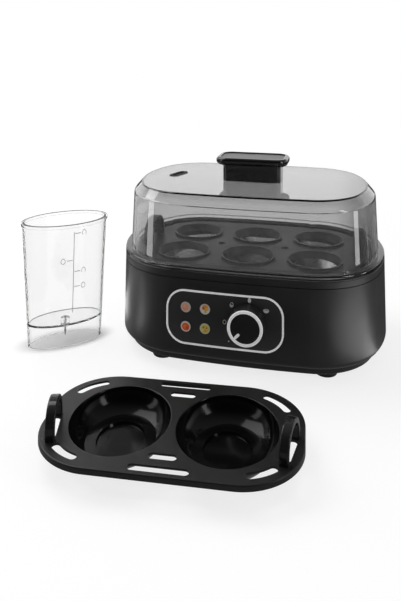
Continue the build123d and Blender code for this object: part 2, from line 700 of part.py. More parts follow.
def timer_knob():
    radius = KNOB_DIAMETER / 2
    front = KNOB_STANDOFF + KNOB_DEPTH
    body = Solid.make_cone(radius, radius - KNOB_TAPER, KNOB_DEPTH)
    body = Pos(0, 0, KNOB_STANDOFF) * fillet(body.edges().group_by(Axis.Z)[-1], KNOB_EDGE)
    hollow = radius - KNOB_TAPER - KNOB_WALL
    knob = body - knob_round(hollow, KNOB_STANDOFF, front - KNOB_WALL)
    knob += knob_round(HUB_DIAMETER / 2, HUB_START, front - KNOB_WALL)
    knob -= slab(shaft_plan(RUN_GAP), HUB_START, SHAFT_END - HUB_START + PIN_GAP)
    groove = front - KNOB_RING_THICKNESS + KNOB_RING_PROUD
    core = knob_round(RING_OUTER - KNOB_RING_WIDTH - PIN_GAP, groove, front)
    knob -= knob_round(RING_OUTER + PIN_GAP, groove, front) - core
    knob -= pointer_bar(PIN_GAP)
    return KNOB_PLANE * knob


def knob_ring():
    top = KNOB_STANDOFF + KNOB_DEPTH + KNOB_RING_PROUD
    bottom = top - KNOB_RING_THICKNESS
    ring = knob_round(RING_OUTER, bottom, top) - knob_round(RING_OUTER - KNOB_RING_WIDTH, bottom, top)
    return KNOB_PLANE * fillet(ring.edges().group_by(Axis.Z)[-1], KNOB_RING_PROUD)


def pointer_bar(gap):
    """The pointer's bar, in from the ring towards the axis at the resting mark."""
    face = KNOB_STANDOFF + KNOB_DEPTH
    reach = RING_OUTER - KNOB_RING_WIDTH - 2 * PIN_GAP
    bar = SlotOverall(POINTER_LENGTH + 2 * gap, POINTER_WIDTH + 2 * gap, rotation=90)
    plan = Pos(0, reach - POINTER_LENGTH / 2) * bar
    return slab(Rot(0, 0, POINTER_TURN) * plan, face - POINTER_DEPTH, POINTER_DEPTH + POINTER_PROUD)


def knob_pointer():
    return KNOB_PLANE * pointer_bar(0)


def switch_shaft():
    stub = knob_round(SHAFT_DIAMETER / 2, SWITCH_FACE - SHAFT_TAIL, HUB_START - PART_GAP)
    tip = slab(shaft_plan(0), HUB_START - PART_GAP, SHAFT_END - HUB_START + PART_GAP)
    return KNOB_PLANE * (stub + tip)


def rotary_switch():
    back = SWITCH_FACE - SWITCH_DEPTH
    body = slab(RectangleRounded(SWITCH_SIDE, SWITCH_SIDE, SWITCH_CORNER), back, SWITCH_DEPTH)
    body += knob_round(BUSH_DIAMETER / 2, SWITCH_FACE, BUSH_REACH)
    body -= knob_round(SHAFT_DIAMETER / 2 + RUN_GAP, SWITCH_FACE - SHAFT_TAIL - PART_GAP, BUSH_REACH)
    blade = Box(BLADE_WIDTH, BLADE_SHEET, BLADE_LENGTH)
    for x in (-SWITCH_SIDE / 3, 0, SWITCH_SIDE / 3):
        body += Pos(x, SWITCH_SIDE / 4, back - BLADE_LENGTH / 2) * blade
    return KNOB_PLANE * body


def switch_nut():
    return KNOB_PLANE * hex_nut(SWITCH_NUT_FLATS, SWITCH_NUT_HEIGHT, BUSH_DIAMETER + 2 * RUN_GAP, RUN_GAP)


# Cable entry and terminal block

def cord_gland():
    flange = fillet(disc(GLAND_FLANGE, GLAND_FLANGE_HEIGHT).edges().group_by(Axis.Z)[-1], GLAND_EDGE)
    gland = flange + disc(GLAND_BODY, GLAND_LENGTH, -GLAND_LENGTH)
    return GLAND_PLANE * (gland - disc(GLAND_BORE, GLAND_LENGTH + GLAND_FLANGE_HEIGHT, -GLAND_LENGTH))


def gland_nut():
    seat = -HOUSING_WALL - PART_GAP
    nut = disc(GLAND_NUT_DIAMETER, GLAND_NUT_HEIGHT, seat - GLAND_NUT_HEIGHT)
    return GLAND_PLANE * (nut - disc(GLAND_BODY + 2 * RUN_GAP, GLAND_NUT_HEIGHT, seat - GLAND_NUT_HEIGHT))


def terminal_block():
    bottom = FOOT_HEIGHT + COVER_THICKNESS
    block = slab(Rectangle(BLOCK_LENGTH, BLOCK_WIDTH), bottom, BLOCK_HEIGHT)
    block = fillet(block.edges().group_by(Axis.Z)[-1], BLOCK_EDGE)
    for i in range(BLOCK_POLES):
        x = (i - (BLOCK_POLES - 1) / 2) * BLOCK_POLE_PITCH
        lane = Plane((x, -BLOCK_WIDTH / 2, bottom + BLOCK_HEIGHT / 3), z_dir=(0, 1, 0))
        block -= lane * disc(BLOCK_BORE, BLOCK_WIDTH)
        block -= Pos(x, 0) * disc(BLOCK_WELL, BLOCK_WELL_DEPTH, bottom + BLOCK_HEIGHT - BLOCK_WELL_DEPTH)
    return Pos(BLOCK_X, BLOCK_Y) * block


def wire(*points):
    """A round wire along straight runs with rounded bends."""
    path = FilletPolyline(*points, radius=WIRE_BEND)
    return sweep(Plane(path @ 0, z_dir=path % 0) * Circle(WIRE_DIAMETER / 2), path)


def wiring():
    tip = -wall_y(KNOB_X, KNOB_Z) - SWITCH_FACE + SWITCH_DEPTH + BLADE_LENGTH + RUN_GAP
    blade_z = KNOB_Z + SWITCH_SIDE / 4
    blades = (KNOB_X - SWITCH_SIDE / 3, KNOB_X + SWITCH_SIDE / 3)
    pole_z = FOOT_HEIGHT + COVER_THICKNESS + BLOCK_HEIGHT / 3
    live = BLOCK_X - BLOCK_POLE_PITCH
    lane = -WIRE_LANE
    outer = lane - WIRE_LANE_STEP
    pin_x = ELEMENT_SHIFT - ELEMENT_RUN / 2 - COLD_PIN_LENGTH - RUN_GAP
    pin_y = ELEMENT_SPREAD / 2
    fuse_end = FUSE_LENGTH / 2 + RUN_GAP
    fuse_out = fuse_end + WIRE_LANE_STEP
    thermo = THERMOSTAT_BODY / 4
    thermo_tip = THERMOSTAT_SEAT - THERMOSTAT_BODY_HEIGHT - BLADE_LENGTH - RUN_GAP
    supply = wire(
        (live, BLOCK_Y, pole_z), (live, BLOCK_Y - BLOCK_WIDTH, pole_z),
        (blades[0], lane / 2, pole_z + WIRE_TAIL),
        (blades[0], lane, WIRE_LEVEL), (blades[0], lane, blade_z), (blades[0], tip, blade_z),
    )
    switched = wire(
        (blades[1], tip, blade_z), (blades[1], outer, blade_z), (blades[1], outer, WIRE_LEVEL),
        (pin_x - WIRE_TAIL, outer, WIRE_LEVEL), (pin_x - WIRE_TAIL, -pin_y, ELEMENT_Z),
        (pin_x, -pin_y, ELEMENT_Z),
    )
    heater = wire(
        (pin_x, pin_y, ELEMENT_Z), (pin_x - WIRE_TAIL, pin_y, ELEMENT_Z),
        (pin_x - WIRE_TAIL, -lane, WIRE_LEVEL), (FUSE_X, -lane, WIRE_LEVEL),
        (FUSE_X, fuse_out, WIRE_LEVEL), (FUSE_X, fuse_out, FUSE_Z), (FUSE_X, fuse_end, FUSE_Z),
    )
    link = wire(
        (FUSE_X, -fuse_end, FUSE_Z), (FUSE_X, -fuse_out, FUSE_Z), (FUSE_X, -fuse_out, WIRE_LEVEL),
        (0, -fuse_out, WIRE_LEVEL), (THERMOSTAT_X + thermo, -WIRE_TAIL, WIRE_LOW),
        (THERMOSTAT_X + thermo, 0, WIRE_LOW), (THERMOSTAT_X + thermo, 0, thermo_tip),
    )
    neutral = wire(
        (THERMOSTAT_X - thermo, 0, thermo_tip), (THERMOSTAT_X - thermo, 0, WIRE_LOW),
        (BLOCK_X, BLOCK_Y - BLOCK_WIDTH, pole_z), (BLOCK_X, BLOCK_Y, pole_z),
    )
    return group([supply, switched, heater, link, neutral])


# Lid

def lid_shell():
    shoulder = LID_TOP - LID_SHOULDER_DROP
    dome = tower((RIM_TOP, LID_WALL_INSET), (shoulder, LID_SHOULDER_INSET), (LID_TOP, LID_TOP_INSET))
    dome = fillet([e for e in dome.edges() if abs(e.center().Z - shoulder) < PIN_GAP], LID_SHOULDER_EDGE)
    dome = fillet(dome.edges().group_by(Axis.Z)[-1], LID_TOP_EDGE)
    flange = prism(LID_FLANGE_INSET, RIM_TOP, RIM_TOP + LID_FLANGE_HEIGHT)
    lid = dome + fillet(flange.edges().group_by(Axis.Z)[-1], LID_FLANGE_EDGE)
    lip_inset = RIM_LAND + PART_GAP
    lid += prism(lip_inset, RIM_TOP - LID_LIP_DROP, RIM_TOP)
    lid -= prism(lip_inset + LID_LIP_WALL, RIM_TOP - LID_LIP_DROP, RIM_TOP + LID_SHELF)
    lid -= tower(
        (RIM_TOP + LID_SHELF, LID_WALL_INSET + LID_SHEET),
        (shoulder - LID_SHEET / 2, LID_SHOULDER_INSET + LID_SHEET),
        (LID_TOP - LID_SHEET, LID_TOP_INSET + LID_SHEET / 2),
    )
    lid -= Pos(STEAM_SLOT_X, STEAM_SLOT_Y) * slab(steam_plan(0), LID_TOP - LID_SHEET, LID_SHEET)
    for x in (-HANDLE_SCREW_X, HANDLE_SCREW_X):
        lid -= Pos(x, 0) * disc(SCREW_DIAMETER + 2 * PIN_GAP, LID_SHEET, LID_TOP - LID_SHEET)
    return lid


def steam_plan(grow):
    """The steam slot's plan, grown by a margin."""
    length, width = STEAM_SLOT_LENGTH + 2 * grow, STEAM_SLOT_WIDTH + 2 * grow
    return SlotOverall(length, width, rotation=STEAM_SLOT_TURN)


def vent_insert():
    frame = slab(steam_plan(-PIN_GAP), LID_TOP - LID_SHEET, LID_SHEET)
    frame += slab(steam_plan(STEAM_RIM), LID_TOP, STEAM_RIM_HEIGHT)
    frame -= slab(steam_plan(-STEAM_FRAME), LID_TOP - LID_SHEET, LID_SHEET + STEAM_RIM_HEIGHT)
    return Pos(STEAM_SLOT_X, STEAM_SLOT_Y) * frame


def lid_handle():
    column = slab(RectangleRounded(HANDLE_LENGTH, HANDLE_WIDTH, HANDLE_CORNER), LID_TOP, HANDLE_RISE)
    grip = slab(RectangleRounded(GRIP_LENGTH, GRIP_WIDTH, GRIP_CORNER), LID_TOP + HANDLE_RISE, GRIP_HEIGHT)
    grip = fillet(grip.edges().group_by(Axis.Z)[0] + grip.edges().group_by(Axis.Z)[-1], GRIP_EDGE)
    handle = column + grip - slab(cap_plan(0), GRIP_TOP - GRIP_RECESS, GRIP_RECESS)
    for x in (-HANDLE_SCREW_X, HANDLE_SCREW_X):
        depth = HANDLE_SCREW_LENGTH - LID_SHEET + PIN_GAP
        handle -= Pos(x, 0) * disc(SCREW_DIAMETER + 2 * RUN_GAP, depth, LID_TOP)
    return handle


def cap_plan(shrink):
    """Plan of the recess in the grip plate, drawn in by a clearance."""
    rim = GRIP_RIM + shrink
    return RectangleRounded(GRIP_LENGTH - 2 * rim, GRIP_WIDTH - 2 * rim, GRIP_CORNER - rim)


def handle_cap():
    return slab(cap_plan(PIN_GAP), GRIP_TOP - GRIP_RECESS, CAP_THICKNESS)


def handle_screws():
    piece = Pos(0, 0, LID_TOP - LID_SHEET) * screw(HANDLE_SCREW_LENGTH)
    return group([Pos(x, 0) * piece for x in (-HANDLE_SCREW_X, HANDLE_SCREW_X)])


# Egg rack

def egg_rack():
    plate_bottom = DECK_TOP + RACK_RISE
    plate_top = plate_bottom + RACK_PLATE
    rack = fillet(prism(RACK_INSET, DECK_TOP, plate_top).edges().group_by(Axis.Z)[-1], RACK_EDGE)
    rack -= prism(RACK_INSET + RACK_SKIRT, DECK_TOP, plate_bottom)
    seat_height = RACK_RISE + RACK_PLATE + SEAT_RISE - PART_GAP
    bore = Solid.make_cone(SEAT_BORE / 2, SEAT_MOUTH / 2, seat_height)
    cup = Solid.make_cone(SEAT_BORE / 2 + SEAT_WALL, SEAT_MOUTH / 2 + SEAT_WALL, seat_height)
    seats = [(x, sy * SEAT_PITCH_Y / 2) for x in (-SEAT_PITCH_X, 0, SEAT_PITCH_X) for sy in (-1, 1)]
    rack += [Pos(x, y, DECK_TOP + PART_GAP) * cup for x, y in seats]
    rack -= [Pos(x, y, DECK_TOP + PART_GAP) * bore for x, y in seats]
    for x in (-SEAT_PITCH_X / 2, SEAT_PITCH_X / 2):
        rack -= Pos(x, 0) * disc(RACK_HOLE, RACK_PLATE, plate_bottom)
    loop = loop_handle(RACK_LOOP, RACK_STRAP)
    rack += [Pos(x, 0, plate_top) * loop for x in (-RACK_HANDLE_X, RACK_HANDLE_X)]
    return rack


# Poaching tray

def bowl_profile(grow, floor):
    """A bowl's cavity, grown by the wall for its outside: belly, shelf and floor, drawn out to an oval."""
    rim = (BOWL_RADIUS + grow, TRAY_TOP)
    belly = (BOWL_BELLY_RADIUS + grow, TRAY_TOP - BOWL_BELLY_DROP)
    shelf = (BOWL_SHELF_RADIUS + grow, floor + BOWL_FLOOR_STEP)
    step = (BOWL_FLOOR_RADIUS + grow, floor)
    lines = ThreePointArc(rim, belly, shelf)
    lines += Polyline(shelf, (step[0] + BOWL_FLOOR_STEP / 2, shelf[1]), step, (0, floor), (0, TRAY_TOP), rim)
    return scale(revolve(Plane.XZ * make_face(lines), Axis.Z), (1, BOWL_OVAL, 1))


def corner_slot(span):
    """A curved slot that follows a corner of the tray, from a start over a sweep in degrees."""
    arc = CenterArc((0, 0), TRAY_CORNER - CORNER_SLOT_EDGE, *span)
    centre = Pos(TRAY_LENGTH / 2 - TRAY_CORNER, TRAY_WIDTH / 2 - TRAY_CORNER)
    return centre * SlotArc(arc, SLOT_WIDTH)


def poaching_tray():
    plan = RectangleRounded(TRAY_LENGTH, TRAY_WIDTH, TRAY_CORNER)
    hollow = RectangleRounded(
        TRAY_LENGTH - 2 * TRAY_SKIRT_WALL, TRAY_WIDTH - 2 * TRAY_SKIRT_WALL, TRAY_CORNER - TRAY_SKIRT_WALL
    )
    skirt_bottom = TRAY_TOP - TRAY_SKIRT_HEIGHT
    tray = slab(plan, skirt_bottom, TRAY_SKIRT_HEIGHT)
    tray = fillet(tray.edges().group_by(Axis.Z)[-1], TRAY_EDGE)
    tray -= slab(hollow, skirt_bottom, TRAY_SKIRT_HEIGHT - TRAY_PLATE)
    bowls = (-BOWL_PITCH / 2, BOWL_PITCH / 2)
    tray += [Pos(x, 0) * bowl_profile(BOWL_WALL, 0) for x in bowls]
    tray -= [Pos(x, 0) * bowl_profile(0, BOWL_WALL) for x in bowls]
    tops = tray.edges().filter_by(lambda e: abs(e.center().Z - TRAY_TOP) < PIN_GAP)
    rims = [e for e in tops if abs(e.bounding_box().size.Y - 2 * BOWL_RADIUS * BOWL_OVAL) < PART_GAP]
    tray = fillet(rims, BOWL_RIM_EDGE)
    slots = [Pos(0, sy * LONG_SLOT_Y) * SlotOverall(LONG_SLOT, SLOT_WIDTH) for sy in (-1, 1)]
    slots += [Pos(0, sy * SHORT_SLOT_Y) * SlotOverall(SHORT_SLOT, SLOT_WIDTH) for sy in (-1, 1)]
    back, front = corner_slot(BACK_SLOT_SPAN), mirror(corner_slot(FRONT_SLOT_SPAN), Plane.XZ)
    slots += [back, front, mirror(back, Plane.YZ), mirror(front, Plane.YZ)]
    ends = [Pos(sx * TRAY_HANDLE_X, TRAY_HANDLE_Y) * Rot(0, 0, -sx * TRAY_LOOP_SPLAY) for sx in (-1, 1)]
    slots += [end * SlotOverall(LOOP_SLOT, SLOT_WIDTH, rotation=90) for end in ends]
    tray -= [slab(slot, TRAY_TOP - TRAY_PLATE, TRAY_PLATE) for slot in slots]
    tray += [Pos(0, 0, TRAY_TOP) * end * loop_handle(TRAY_LOOP, TRAY_STRAP) for end in ends]
    return Rot(0, 0, TRAY_TURN) * tray


# Measuring cup

def cup_oval(z, inset):
    """The cup's oval at height z, drawn in by inset."""
    share = z / CUP_HEIGHT
    length = CUP_FOOT_LENGTH + (CUP_TOP_LENGTH - CUP_FOOT_LENGTH) * share
    width = CUP_FOOT_WIDTH + (CUP_TOP_WIDTH - CUP_FOOT_WIDTH) * share
    return Pos(0, 0, z) * Ellipse(length / 2 - inset, width / 2 - inset)


def cup_block(bottom, top, inset):
    """A tapered oval block between two heights."""
    return loft([cup_oval(bottom, inset), cup_oval(top, inset)], ruled=True)


def measuring_cup():
    cup = cup_block(0, CUP_HEIGHT, 0) + cup_block(CUP_HEIGHT - CUP_LIP_HEIGHT, CUP_HEIGHT, -CUP_LIP)
    cup -= cup_block(CUP_FLOOR, CUP_HEIGHT, CUP_WALL)
    underside = CUP_FLOOR - CUP_WALL
    cup -= cup_block(0, underside, CUP_WALL)
    cup += disc(NEEDLE_BOSS, NEEDLE_BOSS_HEIGHT, underside - NEEDLE_BOSS_HEIGHT)
    cup -= disc(NEEDLE_DIAMETER + 2 * RUN_GAP, NEEDLE_SEAT, underside - NEEDLE_BOSS_HEIGHT)
    return Rot(0, 0, CUP_TURN) * cup


def piercing_needle():
    top = CUP_FLOOR - CUP_WALL - NEEDLE_BOSS_HEIGHT + NEEDLE_SEAT
    shank = disc(NEEDLE_DIAMETER, NEEDLE_LENGTH - NEEDLE_TIP, top - NEEDLE_LENGTH + NEEDLE_TIP)
    point = Solid.make_cone(NEEDLE_DIAMETER / 8, NEEDLE_DIAMETER / 2, NEEDLE_TIP)
    return shank + Pos(0, 0, top - NEEDLE_LENGTH) * point


# Places that follow from the sizes above
SCREW_SEAT = FOOT_HEIGHT + COVER_THICKNESS + SCREW_HEAD_HEIGHT / 2
EAR_Y = WELL_WIDTH / 2 + PAN_FLANGE + EAR_REACH
PAN_SCREW_REACH = GASKET_THICKNESS + DECK_THICKNESS - SCREW_SLOT
ELEMENT_Z = PAN_UNDERSIDE - ELEMENT_DIAMETER / 2 - PIN_GAP
CLAMP_BOTTOM = ELEMENT_Z - ELEMENT_DIAMETER / 2 - PIN_GAP - CLAMP_SHEET
CLAMP_STUD_END = CLAMP_BOTTOM - CLAMP_NUT_HEIGHT - CLAMP_SHEET
THERMOSTAT_SEAT = PAN_UNDERSIDE - PIN_GAP - THERMOSTAT_CAP_HEIGHT
BRACKET_STUD_END = THERMOSTAT_SEAT - BRACKET_SHEET - BRACKET_NUT_HEIGHT - BRACKET_SHEET
FUSE_Z = PAN_UNDERSIDE - FUSE_DIAMETER / 2 - PIN_GAP
KNOB_PLANE = Plane((KNOB_X, -wall_y(KNOB_X, KNOB_Z), KNOB_Z), x_dir=(1, 0, 0), z_dir=(0, -1, 0))
SWITCH_FACE = -PANEL_POCKET - HOUSING_WALL / 2 - PAD_DEPTH
SHAFT_END = KNOB_STANDOFF + KNOB_DEPTH - KNOB_WALL
RING_OUTER = KNOB_DIAMETER / 2 - KNOB_TAPER
GLAND_Y = wall_y(GLAND_X, GLAND_Z, GLAND_SPOT)
GLAND_PLANE = Plane((GLAND_X, GLAND_Y, GLAND_Z), x_dir=(-1, 0, 0), z_dir=(0, 1, 0))
GRIP_TOP = LID_TOP + HANDLE_RISE + GRIP_HEIGHT

COOKER_PIECES = [
    base_housing, bottom_cover, feet, cover_screws, rim_ring,
    water_pan, pan_gasket, pan_screws, heating_element, element_clamp, clamp_nut,
    thermostat, thermostat_bracket, thermostat_nuts, thermal_fuse, fuse_clip,
    control_panel, panel_bezel, picture_discs, timer_knob, knob_ring, knob_pointer,
    switch_shaft, rotary_switch, switch_nut, cord_gland, gland_nut, terminal_block, wiring,
    lid_shell, vent_insert, lid_handle, handle_cap, handle_screws, egg_rack,
]

TABLE = [(COOKER_AT, COOKER_PIECES), (TRAY_AT, [poaching_tray]), (CUP_AT, [measuring_cup, piercing_needle])]

os.makedirs("parts", exist_ok=True)
for place, makers in TABLE:
    for maker in makers:
        export_step(Pos(*place) * maker(), f"parts/{maker.__name__}.step")
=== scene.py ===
# %% [markdown]
# # An egg cooker with its poaching tray and measuring cup
# The rigid pieces come from the CAD frame and keep their shapes. This lesson gives each of them the
# finish of the real material, lays the printed dial, pictures and water scale on them as thin
# surfaces, and sets the whole on a pale table in plain studio light.

# %% Load the frame
import json
from math import pi

import bmesh
import bpy
import numpy as np
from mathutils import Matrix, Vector

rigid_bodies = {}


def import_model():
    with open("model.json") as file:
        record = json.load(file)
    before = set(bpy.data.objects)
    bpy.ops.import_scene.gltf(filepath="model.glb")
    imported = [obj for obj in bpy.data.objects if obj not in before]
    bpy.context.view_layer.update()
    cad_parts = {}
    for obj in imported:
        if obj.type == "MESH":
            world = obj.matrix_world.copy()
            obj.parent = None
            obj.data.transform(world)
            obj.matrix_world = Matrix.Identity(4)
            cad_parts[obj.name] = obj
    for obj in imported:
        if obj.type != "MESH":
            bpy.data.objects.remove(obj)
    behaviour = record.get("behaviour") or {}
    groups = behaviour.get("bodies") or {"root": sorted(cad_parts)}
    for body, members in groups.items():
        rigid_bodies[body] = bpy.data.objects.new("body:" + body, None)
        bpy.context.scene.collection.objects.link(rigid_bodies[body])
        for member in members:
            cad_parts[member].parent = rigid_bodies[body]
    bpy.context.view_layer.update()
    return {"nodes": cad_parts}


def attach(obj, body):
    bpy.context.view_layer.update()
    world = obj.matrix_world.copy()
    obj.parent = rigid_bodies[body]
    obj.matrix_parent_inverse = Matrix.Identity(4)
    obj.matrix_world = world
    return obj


for leftover in list(bpy.data.objects):
    bpy.data.objects.remove(leftover)
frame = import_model()
nodes = frame["nodes"]

# %% [markdown]
# The camera stands where the photographer stood: in front, to the right of the middle and above
# the lid. It looks level, so upright edges stay upright, and the lens is shifted down to the table.

# %% Set up the camera
FOCAL_PIXELS = 645.308
FRAME_ROWS = 601
AXIS_ROW = 36.9
SENSOR_SIDE = 36.0
NEAREST_SEEN = 0.01
CAMERA_PLACE = (0.11304, -0.45194, 0.23826)
CAMERA_YAW = 0.232

lens = bpy.data.cameras.new("studio_lens")
lens.sensor_width = SENSOR_SIDE
lens.lens = FOCAL_PIXELS / FRAME_ROWS * SENSOR_SIDE
lens.shift_y = (AXIS_ROW - FRAME_ROWS / 2) / FRAME_ROWS
lens.clip_start = NEAREST_SEEN
camera = bpy.data.objects.new("studio_camera", lens)
camera.location = CAMERA_PLACE
camera.rotation_euler = (pi / 2, 0, CAMERA_YAW)
bpy.context.scene.collection.objects.link(camera)
bpy.context.scene.camera = camera
print("focal length", round(lens.lens, 2), "mm, shift", round(lens.shift_y, 4))

# %% [markdown]
# A material is a small network of nodes. A few helpers keep the network readable: one adds a node
# and plugs its sockets, and the others each do one common step. A socket takes a number, a colour,
# or the output of an earlier node.

# %% Helpers for node networks
MM = 0.001
NUMBER_SOCKETS = (0, 2, 3)
COLOUR_SOCKETS = (0, 6, 7)
COLOUR_RESULT = 2


def add_node(tree, kind, sockets=None, **settings):
    """A new node of this kind, with its settings made and its named sockets filled or linked."""
    made = tree.nodes.new(kind)
    for name, value in settings.items():
        setattr(made, name, value)
    for name, value in (sockets or {}).items():
        if isinstance(value, bpy.types.NodeSocket):
            tree.links.new(value, made.inputs[name])
        else:
            made.inputs[name].default_value = value
    return made


def sums(tree, operation, *values):
    """One step of arithmetic on numbers or outputs, as a socket."""
    sockets = dict(enumerate(values))
    return add_node(tree, "ShaderNodeMath", sockets, operation=operation).outputs[0]


def vector_sums(tree, operation, *values):
    """One step of arithmetic on vectors, as a socket: a number for a length, else a vector."""
    made = add_node(tree, "ShaderNodeVectorMath", dict(enumerate(values)), operation=operation)
    return made.outputs["Value" if operation == "LENGTH" else "Vector"]


def axes_of(tree, vector):
    """The X, Y and Z of a vector, as sockets by name."""
    return add_node(tree, "ShaderNodeSeparateXYZ", {0: vector}).outputs


def ramp(tree, value, low, high, start=0.0, stop=1.0):
    """A smooth step: start while value is under low, stop once it is over high."""
    sockets = {"Value": value, "From Min": low, "From Max": high, "To Min": start, "To Max": stop}
    made = add_node(tree, "ShaderNodeMapRange", sockets, interpolation_type="SMOOTHSTEP")
    return made.outputs["Result"]


def blend_numbers(tree, share, first, second):
    """A number between two others: the first where share is 0, the second where it is 1."""
    sockets = dict(zip(NUMBER_SOCKETS, (share, first, second)))
    return add_node(tree, "ShaderNodeMix", sockets).outputs[0]


def blend_colours(tree, share, first, second):
    """A colour between two others, in the same way."""
    sockets = dict(zip(COLOUR_SOCKETS, (share, first, second)))
    return add_node(tree, "ShaderNodeMix", sockets, data_type="RGBA").outputs[COLOUR_RESULT]


def blend_shaders(tree, share, first, second):
    """A shader between two others, in the same way."""
    return add_node(tree, "ShaderNodeMixShader", {0: share, 1: first, 2: second}).outputs[0]


def place_of(tree):
    """The point on the piece, in metres in the frame that all pieces share."""
    return add_node(tree, "ShaderNodeTexCoord").outputs["Object"]


def own_axes(tree, middle, turn):
    """The point as a turned piece has it: metres from its middle, along its own axes."""
    turned = {"Vector": place_of(tree), "Center": middle, "Angle": -turn}
    straight = add_node(tree, "ShaderNodeVectorRotate", turned).outputs[0]
    return vector_sums(tree, "SUBTRACT", straight, middle)


def cloud(tree, size, detail=3.0):
    """Noise whose patches are about size millimetres across, from 0 to 1."""
    sockets = {"Vector": place_of(tree), "Scale": 1 / (size * MM), "Detail": detail}
    return add_node(tree, "ShaderNodeTexNoise", sockets).outputs["Fac"]


def grey(level):
    """A neutral colour of this linear level."""
    return (level, level, level, 1.0)


print("helpers ready")

# %% [markdown]
# ## The studio
# The table is a white sheet that keeps soft shadows. Seen directly or through clear plastic most
# of it is a plain white glow, and far off all of it is, so that it runs into the white room with
# no edge. Under the cup the glow gives way, and the shadow shows through the clear foot; the oval
# without glow is darker than the table round it even with no cup over it, so it is partly painted
# shadow. The upright walls of the cooker mirror the table, because the camera looks down on them:
# shiny finishes see it dim in front and dimmer at the back, which keeps the walls black.

# %% Lay the table
TABLE_SIDE = 8.0
TABLE_DROP = 0.05 * MM
TABLE_WHITE = grey(0.97)
GLOW_REACH = (0.32, 0.70)
GLOW_SHARE_NEAR = 0.72
GLOW_NEAR = 1.10
MIRROR_FRONT = 0.30
MIRROR_BACK = 0.08
MIRROR_CHANGE = (0.03, 0.09)
CUP_MIDDLE = np.array([-108.2, 19.5])
CUP_TURN = np.radians(39.5)
CUP_FOOT_AXES = np.array([28.7, 13.85])
CUP_PAINTED_SHADOW = (0.95, 1.5)


def seen_directly(tree):
    """1 for rays from the camera or through clear plastic, and 0 for the rest."""
    path = add_node(tree, "ShaderNodeLightPath").outputs
    return sums(tree, "MAXIMUM", path["Is Camera Ray"], path["Is Transmission Ray"])


def mirrored_rays(tree):
    """1 for rays that a shiny finish throws back, and 0 or less for those that clear plastic bends."""
    path = add_node(tree, "ShaderNodeLightPath").outputs
    return sums(tree, "SUBTRACT", path["Is Glossy Ray"], path["Is Transmission Ray"])


def white_glow(tree, strength):
    """White light of this strength, as a shader."""
    return add_node(tree, "ShaderNodeEmission", {"Color": grey(1.0), "Strength": strength}).outputs[0]


half = TABLE_SIDE / 2
table_corners = [(-half, -half), (half, -half), (half, half), (-half, half)]
sheet_mesh = bpy.data.meshes.new("white_table")
sheet_mesh.from_pydata([(x, y, -TABLE_DROP) for x, y in table_corners], [], [(0, 1, 2, 3)])
table = bpy.data.objects.new("white_table", sheet_mesh)
bpy.context.scene.collection.objects.link(table)

white = bpy.data.materials.new("table_white")
white.use_nodes = True
tree = white.node_tree
tree.nodes.clear()
matt = add_node(tree, "ShaderNodeBsdfDiffuse", {"Color": TABLE_WHITE}).outputs[0]
far = vector_sums(tree, "LENGTH", place_of(tree))
cup_place = (*(CUP_MIDDLE * MM), 0.0)
foot_size = (*(CUP_FOOT_AXES * MM), 1.0)
# A painted shadow under the cup: inside an oval round its foot the glow gives way to the darker lit sheet.
in_feet = vector_sums(tree, "DIVIDE", own_axes(tree, cup_place, CUP_TURN), foot_size)
off_painted_shadow = ramp(tree, vector_sums(tree, "LENGTH", in_feet), *CUP_PAINTED_SHADOW)
glow_share = ramp(tree, far, *GLOW_REACH, GLOW_SHARE_NEAR, 1.0)
glow_share = sums(tree, "MULTIPLY", glow_share, off_painted_shadow)
glow_share = sums(tree, "MULTIPLY", seen_directly(tree), glow_share)
glow = white_glow(tree, ramp(tree, far, *GLOW_REACH, GLOW_NEAR, 1.0))
sheet_seen = blend_shaders(tree, glow_share, matt, glow)
spot = axes_of(tree, place_of(tree))
sheet_mirrored = white_glow(tree, ramp(tree, spot["Y"], *MIRROR_CHANGE, MIRROR_FRONT, MIRROR_BACK))
sheet = blend_shaders(tree, mirrored_rays(tree), sheet_seen, sheet_mirrored)
add_node(tree, "ShaderNodeOutputMaterial", {"Surface": sheet})
sheet_mesh.materials.append(white)
print("table", TABLE_SIDE, "m wide")

# %% [markdown]
# The room is bright at the back and overhead and dim in front. Shiny finishes see it brighter near
# the table than high up. Seen directly, all of it is white.

# %% Light the room
ROOM_DIM = 0.05
ROOM_BRIGHT = 0.95
ROOM_CHANGE = (-0.25, 0.75)
LEAN_BACK = 0.95
LEAN_UP = 0.40
ROOM_LEVEL = 0.62
ROOM_RISE = (0.28, 0.50)
ROOM_LOW = 1.3
ROOM_HIGH = 0.45

room = bpy.data.worlds.new("studio_room")
room.use_nodes = True
tree = room.node_tree
tree.nodes.clear()
axes = axes_of(tree, add_node(tree, "ShaderNodeTexCoord").outputs["Generated"])
back = sums(tree, "MULTIPLY", axes["Y"], LEAN_BACK)
overhead = sums(tree, "MULTIPLY", axes["Z"], LEAN_UP)
level = ramp(tree, sums(tree, "ADD", back, overhead), *ROOM_CHANGE, ROOM_DIM, ROOM_BRIGHT)
lit = sums(tree, "MULTIPLY", level, ROOM_LEVEL)
mirrored = sums(tree, "MULTIPLY", level, ramp(tree, axes["Z"], *ROOM_RISE, ROOM_LOW, ROOM_HIGH))
shade = blend_numbers(tree, mirrored_rays(tree), lit, mirrored)
strength = sums(tree, "MAXIMUM", shade, seen_directly(tree))
air = add_node(tree, "ShaderNodeBackground", {"Color": grey(1.0), "Strength": strength})
add_node(tree, "ShaderNodeOutputWorld", {"Surface": air.outputs[0]})
bpy.context.scene.world = room
bpy.context.scene.view_settings.view_transform = "Standard"
print("room level", ROOM_LEVEL)

# %% [markdown]
# One large box lights the set from behind on the left, and a strip on each side fills in. Two small
# cards draw the upright highlights on the ends of the lid, and two flat lamps on the table draw
# those on the rounded corners of the base. Cards and flat lamps shine on these pieces alone and
# don't show themselves.

# %% Hang the lamps
LID_ALONE = ("lid_shell",)
BASE_ALONE = ("base_housing", "bottom_cover", "rim_ring")


